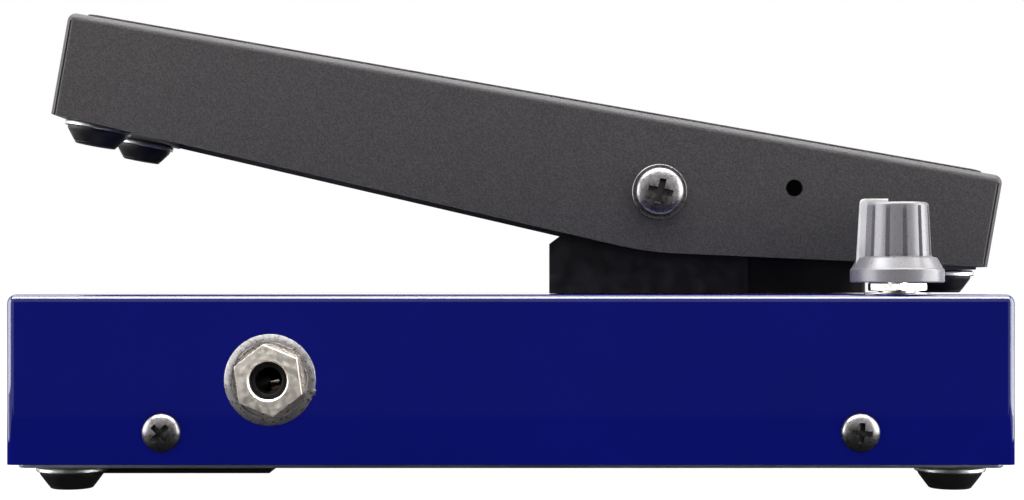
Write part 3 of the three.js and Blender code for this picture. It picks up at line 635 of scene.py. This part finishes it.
def rubber_shape():
    """A tapered rubber with a recess in which the screw sits. z is away from the sheet."""
    top, foot = 8.2, 5.7
    start = GAP + 1.2
    return turned([
        (2.95, start), (top, start), (top, start + 0.9), (top - 0.25, start + 1.4),
        (foot + 0.25, BUMPER_HEIGHT - 0.8),
        *arc((foot - 0.75, BUMPER_HEIGHT - 0.8), 0.8, 10, 90, 5),
        (3.4, BUMPER_HEIGHT), (3.0, BUMPER_HEIGHT - 0.4),
    ], FINE, ring=True)


def cross_tool(reach, half, z0, z1):
    """A cross recess: two crossed bars that taper down, z1 being its open end."""
    bars = []
    for way in (0, pi / 2):
        shape = block(-reach, reach, -half, half, z0, z1)
        for vertex in shape.verts:
            if vertex.co.z < (z0 + z1) / 2:
                vertex.co.x *= 0.75
                vertex.co.y *= 0.85
        bars.append(place(shape, Matrix.Rotation(way, 4, "Z")))
    return join(*bars)


def bumper(node, body, matrix):
    """The cup and the rubber of one foot or bumper. matrix points its z axis away from the sheet."""
    finished(f"{node}_cup_form", place(cup_shape(), matrix), ZINC, body, [f"{node}_cup"])
    finished(f"{node}_rubber_form", place(rubber_shape(), matrix), RUBBER, body, [f"{node}_rubber"])


def feet():
    for end in ("toe", "heel"):
        for side in ("near", "far"):
            node = f"foot_{end}_{side}"
            spot = middle(f"{node}_rubber")
            bumper(node, "base", facing("down", (spot[0], spot[1], low("bottom_plate")[2])))


# ---- fastenings ------------------------------------------------------------------------------------


def domed_screw(radius, height, rim, recess, shank, length):
    """A domed cross screw. z = 0 is under its head."""
    dome = [(radius * cos(radians(a)), rim + (height - rim) * sin(radians(a))) for a in range(0, 85, 6)]
    head = [
        (0, -length), (shank - 0.4, -length), (shank, -length + 0.6), (shank, 0),
        (radius - 0.25, 0), (radius, 0.2), *dome, (0, height),
    ]
    return cut(turned(head), cross_tool(recess, recess * 0.25, 0.4, height + 0.6))


def side_screws():
    turns = {
        "side_screw_toe_near": 45, "side_screw_heel_near": -4,
        "side_screw_toe_far": 20, "side_screw_heel_far": 62,
    }
    for node, turn in turns.items():
        side = node.rsplit("_", 1)[1]
        face = low("base_shell")[1] - GAP if side == "near" else high("base_shell")[1] + GAP
        spot = middle(node)
        screw = domed_screw(4.9, 2.6, 0.6, 2.9, 2.45, 9)
        screw = place(screw, facing(side, (spot[0], face, spot[2]), radians(turn)))
        finished(f"{node}_form", screw, DARK_NICKEL, "base", [node])


def pivot_hardware():
    for side, turn in (("near", -13), ("far", 31)):
        washer, screw = f"pivot_washer_{side}", f"pivot_screw_{side}"
        face = high(washer)[1] if side == "near" else low(washer)[1]
        spot = (PIVOT[0], face, PIVOT[2])
        ring = turned([
            (3.3, 0), (7.2, 0), (7.35, 0.15), (7.35, 0.9), (7.25, 1.0), (3.5, 1.0), (3.3, 0.8),
        ], FINE, ring=True)
        finished(f"{washer}_form", place(ring, facing(side, spot)), DARK_NICKEL, "base", [washer])
        head = domed_screw(6.45, 2.9, 0.75, 3.7, 2.95, 17)
        way = -1 if side == "near" else 1
        seat = (PIVOT[0], face + way * (1.0 + GAP), PIVOT[2])
        head = place(head, facing(side, seat, radians(turn)))
        finished(f"{screw}_form", head, DARK_NICKEL, "base", [screw])


def hex_nut(flats, height, bore, turn, crown=0.0):
    """A hexagon nut whose upper face may fall away by crown at its corners. z = 0 is its seat."""
    corner = flats / sqrt(3)
    limits = turned([
        (0, 0), (flats / 2 - 0.1, 0), (corner + 0.1, 0.3), (corner + 0.1, height - crown),
        (bore, height), (0, height),
    ], FINE)
    body = combine(prism(hexagon(flats, turn), -0.5, height + 0.5), limits, "INTERSECT")
    opening = turned([
        (0, -0.5), (bore + 0.9, -0.5), (bore, 0.45), (bore, height - 0.4),
        (bore + 0.8, height + 0.4), (0, height + 0.5),
    ], FINE)
    return cut(body, opening)


JACK_NUT_FLATS = 15.9
LEVEL_NUT_FLATS = 14.3
BUSH_OPENING = 4.8                # opening of both nuts, round a 3/8 in bush


# ---- jacks -----------------------------------------------------------------------------------------


def lead_jack(name, side):
    washer, nut = f"{name}_washer", f"{name}_nut"
    way = -1 if side == "near" else 1
    face = high(washer)[1] if side == "near" else low(washer)[1]
    x, z = middle(nut)[0], middle(nut)[2]
    radius = (high(washer)[0] - low(washer)[0]) / 2
    dish = turned([
        (5.05, 0), (radius - 0.3, 0), (radius, 0.25), (radius - 0.1, 0.45), (radius - 1.7, 1.0),
        (radius - 2.0, 0.95), (radius - 2.2, 0.55), (5.2, 0.5), (5.05, 0.4),
    ], 96, ring=True)
    tab = block(radius - 1.2, radius + 0.35, -0.9, 0.7, 0.1, 0.55, 0.1, 2)
    dish = place(gather(dish, place(tab, Matrix.Rotation(radians(-15), 4, "Z"))), facing(side, (x, face, z)))
    finished(f"{washer}_form", dish, jack_washer_finish(washer), "base", [washer])
    seat = face + way * (1.0 + GAP)
    shape = hex_nut(JACK_NUT_FLATS, 3.0, BUSH_OPENING, radians(30 + 7.8), 0.2)
    shape = place(shape, facing(side, (x, seat, z)))
    eased(finished(f"{nut}_form", shape, SATIN_NICKEL, "base", [nut]), 0.2)
    barrel(name, side, way, x, z)


THREAD = 0.75                     # pitch of the jack's thread
BUSH_DROP = 1.0                   # how far the bush ends below the face of its nut


def barrel(name, side, way, x, z):
    """The jack's threaded bush and its plastic housing, with the contact spring that shows in the bore."""
    body = f"{name}_body"
    outer = low(body)[1] if side == "near" else high(body)[1]
    wall = (low("base_shell")[1] if side == "near" else high("base_shell")[1]) - way * SHEET
    reach = abs(outer - wall)
    threads = [(4.75, 0.0)]
    count = int((reach - BUSH_DROP - 0.3) / THREAD)
    for turn in range(count):
        start = turn * THREAD
        threads += [(4.75, start + 0.1), (4.35, start + THREAD / 2), (4.75, start + THREAD - 0.1)]
    face = reach - BUSH_DROP
    bush = turned([
        (3.35, -1.5), (4.75, -1.5), *threads, (4.7, face - 0.2), (4.5, face), (3.75, face),
        (3.45, face - 0.15), (3.35, face - 0.4),
    ], FINE, ring=True)
    seat = (x, wall, z)
    finished(f"{name}_bush", place(bush, facing(side, seat)), PLASTIC, "base")
    size = high(body) - low(body)
    depth = size[1] - reach
    housing = block(-size[0] / 2, size[0] / 2, -size[2] / 2, size[2] / 2, -depth, -0.1, 0.8)
    housing = cut(housing, bar(3.4, -depth - 1, 1, FINE))
    lug = block(-1.2, 1.2, -size[2] / 2 - 0.6, -size[2] / 2 + 2, -depth + 2, -depth + 2.6)
    housing = join(housing, lug)
    finished(f"{name}_housing", place(housing, facing(side, seat)), PLASTIC, "base", [body])
    spring = [(-1.35, -3.2), (-1.35, -3.0), *arc((-9.0, 1.2), 4.9, -50, -20, 6), (-18.0, -3.0), (-18.0, -3.25)]
    strip = prism(spring, -1.3, 1.3)
    turn = Matrix(((0, 0, 1, 0), (0, 1, 0, 0), (1, 0, 0, 0), (0, 0, 0, 1)))
    finished(f"{name}_contact", place(strip, facing(side, seat, radians(12)) @ turn), NICKEL, "base")


def power_jack():
    node = "power_jack"
    nose = low(node)[0]
    centre = middle(node)
    depth = high(node)[0] - nose
    wall = low("base_shell")[0] + SHEET - nose
    collar = turned([
        (3.0, -depth + 2), (5.5, -depth + 2), (5.5, -0.4), (5.1, 0), (3.6, 0), (3.0, -0.5),
    ], FINE, ring=True)
    half = (high(node)[1] - low(node)[1]) / 2
    case = cut(block(-half, half, -half, half, -depth, -wall - GAP, 0.5), bar(3.0, -depth + 2, 1, FINE))
    spot = facing("toe", (nose, centre[1], centre[2]))
    finished("power_jack_form", place(join(case, collar), spot), PLASTIC, "base", [node])
    pin = turned([(0, -depth + 1.8), (1.05, -depth + 1.8), (1.05, -2.2), (0.7, -1.6), (0, -1.5)], COARSE)
    finished("power_jack_pin", place(pin, spot), NICKEL, "base")


# ---- pedestal --------------------------------------------------------------------------------------


SHOULDER = 64.0                   # where the ears start to narrow
EAR_LEAD = 2.0                    # how far the near ear stands in front of the web


def pedestal_bracket():
    floor, roof = low("pedestal_bracket"), high("pedestal_bracket")
    nose = roof[2] - PIVOT[2]
    x0, x1, z0 = floor[0], roof[0], floor[2]
    web = x0 + EAR_LEAD
    channel = block(web, x1, floor[1] + 0.5, roof[1], z0, roof[2])
    corners = [e for e in channel.edges if abs(e.verts[0].co.x - e.verts[1].co.x) < 1e-6
               and abs(e.verts[0].co.y - e.verts[1].co.y) < 1e-6 and e.verts[0].co.x < web + 1
               and e.verts[0].co.y > PIVOT[1]]
    round_edges(channel, corners, BEND, BEND_STEPS)
    inner = block(web + SHEET, x1 + 1, floor[1] + SHEET - 0.3, roof[1] - SHEET, z0 - 1, roof[2] + 1)
    channel = cut(channel, inner)
    outline = [(web - 1, z0), (x1, z0), (x1, SHOULDER)]
    top = arc((PIVOT[0], PIVOT[2]), nose, 0, 180, 24)
    outline += top + [(web, SHOULDER), (web - 1, SHOULDER)]
    channel = combine(channel, side_view(outline, floor[1] - 1, roof[1] + 1), "INTERSECT")
    near_ear = [(x0, z0), (x1, z0), (x1, SHOULDER), *top, (x0, SHOULDER)]
    channel = join(channel, side_view(near_ear, floor[1], floor[1] + SHEET))
    for side in (1, -1):
        edge = floor[1] if side > 0 else roof[1]
        y0, y1 = sorted((edge + side * 0.5, edge + side * (SHEET + 12)))
        channel = join(channel, block(web + 0.5, x1 - 0.5, y0, y1, z0, z0 + SHEET, 0.15, 2))
    tools = [hole("near", PIVOT, 3.3, 60)]
    for side in ("near", "far"):
        tools.append(hole("up", middle(f"pedestal_screw_{side}"), 2.3, 12))
    channel = cut(channel, gather(*tools))
    eased(finished("pedestal_bracket_form", channel, BLACK, "base", ["pedestal_bracket"]), 0.3)


def gear_cover():
    floor, roof = low("gear_cover"), high("gear_cover")
    wall = 1.5
    shell = block(floor[0], roof[0], floor[1], roof[1], floor[2], roof[2])
    upper = [e for e in shell.edges if max(v.co.z for v in e.verts) > roof[2] - 0.1]
    round_edges(shell, upper, 1.6, 5)
    inner = block(floor[0] + wall, roof[0] - wall, floor[1] + wall, roof[1] - wall, floor[2] - 1, roof[2] - wall)
    shell = cut(shell, inner, sector_slot(floor[2], roof[2] + 1))
    even_normals(finished("gear_cover_form", shell, BLACK, "base", ["gear_cover"]))


def pedestal_screws():
    for side, turn in (("near", 24), ("far", 70)):
        node = f"pedestal_screw_{side}"
        spot = middle(node)
        seat = low("pedestal_bracket")[2] + SHEET + GAP
        screw = domed_screw(3.8, 2.4, 0.6, 2.1, 1.95, 6.5)
        finished(f"{node}_form", place(screw, facing("up", (spot[0], spot[1], seat), radians(turn))),
                 ZINC, "base", [node])


# ---- level control ---------------------------------------------------------------------------------

FLUTES = 12
FLUTE_TURN = radians(-90 + 1)    # the first flute, seen from above
FLUTE_HALF = radians(3.4)
FLUTE_DEPTH = 1.1


def knob():
    centre = middle("level_pot_shaft")
    bottom, top, radius = low("knob")[2], high("knob")[2], (high("knob")[0] - low("knob")[0]) / 2
    skirt_top, neck_z, neck, crown = bottom + 3.6, bottom + 6.9, 8.75, 8.1
    profile = [
        (3.2, bottom + 0.6), (radius - 1.2, bottom + 0.6), (radius - 1.0, bottom), (radius - 0.25, bottom),
        (radius, bottom + 0.3), (radius, skirt_top - 0.6), *arc((radius - 0.7, skirt_top - 0.5), 0.7, 0, 60, 4),
        (neck + 1.5, neck_z - 0.5), (neck + 0.5, neck_z - 0.25),
    ]
    rise = top - 0.9 - neck_z
    for step in range(13):
        share = step / 12
        profile.append((neck + (crown - neck) * share, neck_z + rise * share))
    profile += [*arc((crown - 0.9, top - 0.9), 0.9, 15, 90, 5), (5.9, top), (5.6, top - 0.35), (0, top - 0.35)]
    profile = [(0, bottom + 8), (3.2, bottom + 8), *profile]
    mesh = turned(profile, 360)
    for vertex in mesh.verts:
        distance = sqrt(vertex.co.x ** 2 + vertex.co.y ** 2)
        if vertex.co.z < neck_z - 0.1 or distance < crown - 1.0 or vertex.co.z > top - 0.02:
            continue
        angle = atan2(vertex.co.y, vertex.co.x) - FLUTE_TURN
        nearest = (angle + pi / FLUTES) % (2 * pi / FLUTES) - pi / FLUTES
        if abs(nearest) < FLUTE_HALF:
            fade = min(1, max(0, (top - 0.9 - vertex.co.z) / 1.3))
            depth = FLUTE_DEPTH * fade * sqrt(1 - (nearest / FLUTE_HALF) ** 2)
            vertex.co.x *= (distance - depth) / distance
            vertex.co.y *= (distance - depth) / distance
    place(mesh, Matrix.Translation((centre[0], centre[1], 0)))
    notch = block(low("knob_pointer")[0] - 1, high("knob_pointer")[0] + GAP, low("knob_pointer")[1] - GAP,
                  high("knob_pointer")[1] + GAP, top - 2.1, top + 1)
    slot = block(low("knob_pointer")[0] - 1, low("knob_pointer")[0] + 3.5, low("knob_pointer")[1] - GAP,
                 high("knob_pointer")[1] + GAP, low("knob_pointer")[2] - GAP, top + 1)
    shape = cut(mesh, notch, slot)
    finished("knob_form", shape, GREY, "level_control", ["knob"], smooth=14)


def knob_pointer():
    floor, roof = low("knob_pointer"), high("knob_pointer")
    x0, x1, z0, z1 = floor[0], roof[0], floor[2], roof[2]
    cross = z1 - 3.0
    lean = 1.0
    outline = [(x0, z0), (x0 + 3.4, z0), (x0 + 3.4, cross), (x1, cross), (x1, z1)]
    outline += arc((x0 + lean + 1.0, z1 - 1.0), 1.0, 90, 176, 5)
    finished("knob_pointer_form", side_view(outline, floor[1], roof[1], 0.25, 3), WHITE,
             "level_control", ["knob_pointer"])


def level_hardware():
    centre = middle("level_pot_shaft")
    floor, roof = low("level_pot_nut")[2], high("level_pot_nut")[2]
    nut = hex_nut(LEVEL_NUT_FLATS, roof - floor, BUSH_OPENING, radians(-7) + pi / 2)
    nut = place(nut, Matrix.Translation((centre[0], centre[1], floor)))
    eased(finished("level_pot_nut_form", nut, NICKEL, "base", ["level_pot_nut"]))
    washer = turned([(5.05, 0), (8.45, 0), (8.6, 0.1), (8.6, 0.25), (8.5, 0.3), (5.05, 0.3)], FINE, ring=True)
    seat = Matrix.Translation((centre[0], centre[1], low("level_pot_washer")[2]))
    finished("level_pot_washer_form", place(washer, seat), ZINC, "base", ["level_pot_washer"])


# ---- treadle ---------------------------------------------------------------------------------------

TOE_EDGE = -7.6                   # lower edge of the flanges at the toe, in the treadle's own frame
HEEL_EDGE = -4.6
BELLY_X = -0.5                    # where the flanges are deepest
BELLY_ROUND = 8.0
SIDE_HOLE = (35.7, 7.3, 2.3)      # the small plain hole: x, z, radius
TOE_LIP = 20.0
HEEL_LIP_FRONT = 10.5
HEEL_LIP_BACK = 7.3
SEAM = 0.4                        # the open corner seams, and how far they are from the ends
SEAM_INSET = 1.4
FAR_TRIM = 1.4                    # the far flange is this much shallower than the near one


def quadratic(start, control, end, steps):
    points = []
    for step in range(steps + 1):
        t = step / steps
        points.append(tuple((1 - t) ** 2 * a + 2 * t * (1 - t) * c + t * t * b
                            for a, c, b in zip(start, control, end)))
    return points


def treadle_outline():
    toe, heel, top, belly = TREADLE_LOW[0], TREADLE_HIGH[0], TREADLE_HIGH[2], TREADLE_LOW[2]
    front = (belly - TOE_EDGE) / (BELLY_X - toe)
    rear = (HEEL_EDGE - belly) / (heel - BELLY_X)
    belly = belly - BELLY_ROUND * (rear - front) / 4
    lower = quadratic((BELLY_X - BELLY_ROUND, belly - BELLY_ROUND * front), (BELLY_X, belly),
                      (BELLY_X + BELLY_ROUND, belly + BELLY_ROUND * rear), 12)
    outline = [(toe, TOE_EDGE), *lower, (heel, HEEL_EDGE), (heel, top), (toe, top)]
    return outline, len(lower) + 1


def treadle_shell():
    outline, open_side = treadle_outline()
    half = TREADLE_HIGH[1]
    tray = folded_tray(outline, -half, half, open_side)
    toe = TREADLE_LOW[0]
    inner = half - SHEET + 0.3
    lip = block(toe + 0.6, toe + TOE_LIP, -inner, inner, TOE_EDGE, TOE_EDGE + SHEET, 0.25, 2)
    tray = join(tray, lip)
    seat = heel_bumper_seat()
    level = Matrix.Translation((seat[0], 0, seat[2])) @ Matrix.Rotation(-SLOPE, 4, "Y")
    lip = place(block(-HEEL_LIP_FRONT, HEEL_LIP_BACK, -inner, inner, 0, SHEET, 0.25, 2), level)
    tray = join(tray, lip)
    tools = [
        place(bar(4.8, -60, 60, FINE), Matrix.Rotation(pi / 2, 4, "X")),
        place(bar(SIDE_HOLE[2], -60, 60, FINE),
              Matrix.Translation((SIDE_HOLE[0], 0, SIDE_HOLE[1])) @ Matrix.Rotation(pi / 2, 4, "X")),
    ]
    for end, way in ((toe, 1), (TREADLE_HIGH[0], -1)):
        for edge in (-half, half):
            spot = Matrix.Translation((end + way * SEAM_INSET, edge, 0))
            seam = block(-SEAM, SEAM, -SEAM, SEAM, TOE_EDGE - 3, TREADLE_HIGH[2] - BEND)
            tools.append(place(seam, spot @ Matrix.Rotation(pi / 4, 4, "Z")))
    trim = [(x, z + FAR_TRIM) for x, z in outline[:open_side + 1]]
    trim = [(toe - 1, TOE_EDGE - 20), (toe - 1, trim[0][1]), *trim, (trim[-1][0] + 1, trim[-1][1]),
            (trim[-1][0] + 1, TOE_EDGE - 20)]
    tools.append(side_view(trim[::-1], half - SHEET - 0.2, half + 1))
    shell = place(cut(tray, gather(*tools)), TREADLE)
    even_normals(finished("treadle_shell_form", shell, POWDER, "treadle", ["treadle_shell"]))


def heel_bumper_seat():
    """Where the heel bumpers hang, in the treadle's own frame: they sit level under it."""
    near = middle("heel_bumper_near_rubber")
    top = high("heel_bumper_near_rubber")[2] + CUP_HEIGHT + 2 * GAP
    return TREADLE.inverted() @ Vector((near[0], PIVOT[1], top))


def treadle_bumpers():
    for side in ("near", "far"):
        spot = middle(f"toe_bumper_{side}_rubber")
        own = TREADLE.inverted() @ spot
        bumper(f"toe_bumper_{side}", "treadle", facing("down", (own[0], own[1], TOE_EDGE), parent=TREADLE))
        spot = middle(f"heel_bumper_{side}_rubber")
        seat = TREADLE @ heel_bumper_seat()
        bumper(f"heel_bumper_{side}", "treadle", facing("down", (spot[0], spot[1], seat[2])))


MAT_EDGE = 0.2


def grip_mat():
    """A rubber mat with a raised grain all over its face."""
    points = [TREADLE.inverted() @ (v.co / MM) for v in frame["nodes"]["grip_mat"].data.vertices]
    x0, x1 = min(p.x for p in points), max(p.x for p in points)
    y0, y1 = min(p.y for p in points), max(p.y for p in points)
    z0, z1 = min(p.z for p in points), max(p.z for p in points)
    mesh = prism(rounded_corners(x0, x1, y0, y1, 3, 8), z0, z1, MAT_EDGE, 3)
    finished("grip_mat_form", place(mesh, TREADLE), GRIP, "treadle", ["grip_mat"])


# ---- battery and door ------------------------------------------------------------------------------


def battery_door():
    floor, roof = low("battery_door"), high("battery_door")
    under, top = floor[2], low("bottom_plate")[2] - GAP
    outline = [(floor[0], under), (roof[0] - 1.9, under), (roof[0], top), (floor[0], top)]
    panel = side_view(outline, floor[1], roof[1], 0.45, 3)
    grooves = []
    for number in range(5):
        x = roof[0] - 6 - number * 2.4
        grooves.append(place(bar(0.7, -9, 9, 16), facing("near", (x, middle("battery_door")[1], under - 0.25))))
    panel = cut(panel, gather(*grooves))
    tongue = block(high("battery")[0] - 0.6, high("battery")[0] + 0.8, middle("battery_door")[1] - 6.5,
                   middle("battery_door")[1] + 6.5, top - 0.5, roof[2], 0.2, 2)
    finished("battery_door_form", join(panel, tongue), PLASTIC, "battery_cover", ["battery_door"])


def battery():
    floor, roof = low("battery"), high("battery")
    end = roof[0] - 1.6
    can = block(floor[0], end, floor[1], roof[1], floor[2], roof[2])
    round_edges(can, [e for e in can.edges if abs(e.verts[0].co.x - e.verts[1].co.x) > 1], 2.6, 6)
    round_edges(can, [e for e in can.edges if len(e.link_faces) == 2 and e.calc_face_angle() > 1], 0.5, 3)
    even_normals(finished("battery_form", can, BATTERY, "base", ["battery"]))
    centre = middle("battery")
    for number, (offset, sides) in enumerate(((-6.35, COARSE), (6.35, 6))):
        stud = turned([(0, 0), (2.9, 0), (2.9, 0.9), (2.5, 1.4), (1.9, 1.5), (1.7, 0.9), (0, 0.9)], sides)
        matrix = facing("toe", (end, centre[1] + offset, centre[2])) @ Matrix.Rotation(pi, 4, "Y")
        finished(f"battery_terminal_{number + 1}", place(stud, matrix), ZINC, "base")


# ---- CAD nodes that keep their own shape -----------------------------------------------------------

KEPT = {
    "battery_clip": PLASTIC, "circuit_board": LAMINATE, "pivot_nut_near": ZINC, "pivot_nut_far": ZINC,
    "pivot_bush_near": NYLON, "pivot_bush_far": NYLON, "pot_bracket": ZINC, "volume_pot": ZINC,
    "volume_pot_nut": NICKEL, "pinion": BRASS, "level_pot": ZINC, "level_pot_shaft": NICKEL,
    "sector_gear": BRASS, "sector_screw_toe": ZINC, "sector_screw_heel": ZINC,
}


def keep_shapes():
    for node, material in KEPT.items():
        piece = frame["nodes"][node]
        piece.data.materials.clear()
        piece.data.materials.append(material)
        eased(piece)


# ---- stage -----------------------------------------------------------------------------------------


def emitter(name, size, location, target, radiance, colour=(1, 1, 1), glossy=True):
    light = bpy.data.lights.new(name, "AREA")
    light.shape = "RECTANGLE"
    light.size, light.size_y = size
    light.color = colour
    light.energy = radiance * size[0] * size[1] * pi
    lamp = bpy.data.objects.new(name, light)
    lamp.location = location
    lamp.rotation_euler = (Vector(target) - Vector(location)).to_track_quat("-Z", "Y").to_euler()
    lamp.visible_camera = False
    lamp.visible_glossy = glossy
    bpy.context.scene.collection.objects.link(lamp)
    return lamp


def ground():
    mesh = bmesh.new()
    bmesh.ops.create_grid(mesh, x_segments=1, y_segments=1, size=6000)
    finish = Finish("pale floor", "none", (0.2, 0.2, 0.2, 1), 0.9, Specular_IOR_Level=0.0)
    finish.shader.inputs["Emission Color"].default_value = (1, 1, 1, 1)
    finish.shader.inputs["Emission Strength"].default_value = 1.0
    sheet = finished("floor", mesh, None)
    sheet.data.materials.append(finish.material)
    sheet.location.z = -0.05 * MM
    sheet.visible_glossy = False


def card(name, box, strength):
    """A card that only shiny surfaces see: the dark room in front of the pedal, or a soft light."""
    finish = Finish(name, "none", (0.0, 0.0, 0.0, 1), 1.0, Specular_IOR_Level=0.0)
    finish.shader.inputs["Emission Color"].default_value = (1, 1, 1, 1)
    finish.shader.inputs["Emission Strength"].default_value = strength
    sheet = finished(name, block(*box), None)
    sheet.data.materials.append(finish.material)
    sheet.visible_camera = False
    sheet.visible_diffuse = False
    sheet.visible_shadow = False


def cards():
    card("dark room", (-290, 285, -560, -558, -70, 240), 0.07)
    card("dark table", (-500, 500, -558, 400, -22, -20), 0.03)
    card("top softbox", (-700, 700, -400, 0, 800, 802), 22)
    card("left softbox", (-702, -700, -420, 40, -10, 420), 10)
    card("right softbox", (520, 522, -380, 40, -10, 420), 11)


def studio():
    world = bpy.data.worlds.new("studio")
    bpy.context.scene.world = world
    world.use_nodes = True
    world.node_tree.nodes["Background"].inputs["Color"].default_value = (1, 1, 1, 1)
    world.node_tree.nodes["Background"].inputs["Strength"].default_value = 1.0
    world.cycles_visibility.diffuse = False
    emitter("overhead", (1.4, 0.7), (0.0, 0.25, 0.9), (0, 0.0, 0.05), 5)
    emitter("left strip", (0.35, 0.9), (-0.95, 0.05, 0.35), (0, 0, 0.06), 4)
    emitter("right strip", (0.35, 0.9), (0.95, 0.05, 0.35), (0, 0, 0.06), 6)
    emitter("front fill", (1.2, 0.5), (-0.1, -0.8, 0.7), (0, 0, 0.05), 1.5, glossy=False)
    bpy.context.scene.view_settings.view_transform = "Standard"
    bpy.context.scene.view_settings.look = "None"


def camera():
    """Level, square to the near side, at the height of the eye in the picture."""
    data = bpy.data.cameras.new("camera")
    data.sensor_width = 36
    data.lens = 59.6
    data.shift_y = 0.0322
    data.clip_start = 0.01
    eye = bpy.data.objects.new("camera", data)
    eye.location = (-2.158 * MM, -487.15 * MM, 53.4 * MM)
    eye.rotation_euler = (pi / 2, 0, 0)
    bpy.context.scene.collection.objects.link(eye)
    bpy.context.scene.camera = eye


camera()
studio()
ground()
cards()
base_shell()
bottom_plate()
feet()
side_screws()
lead_jack("output_jack", "near")
lead_jack("input_jack", "far")
power_jack()
battery_door()
battery()
pedestal_bracket()
gear_cover()
pedestal_screws()
pivot_hardware()
level_hardware()
knob()
knob_pointer()
treadle_shell()
grip_mat()
treadle_bumpers()
keep_shapes()
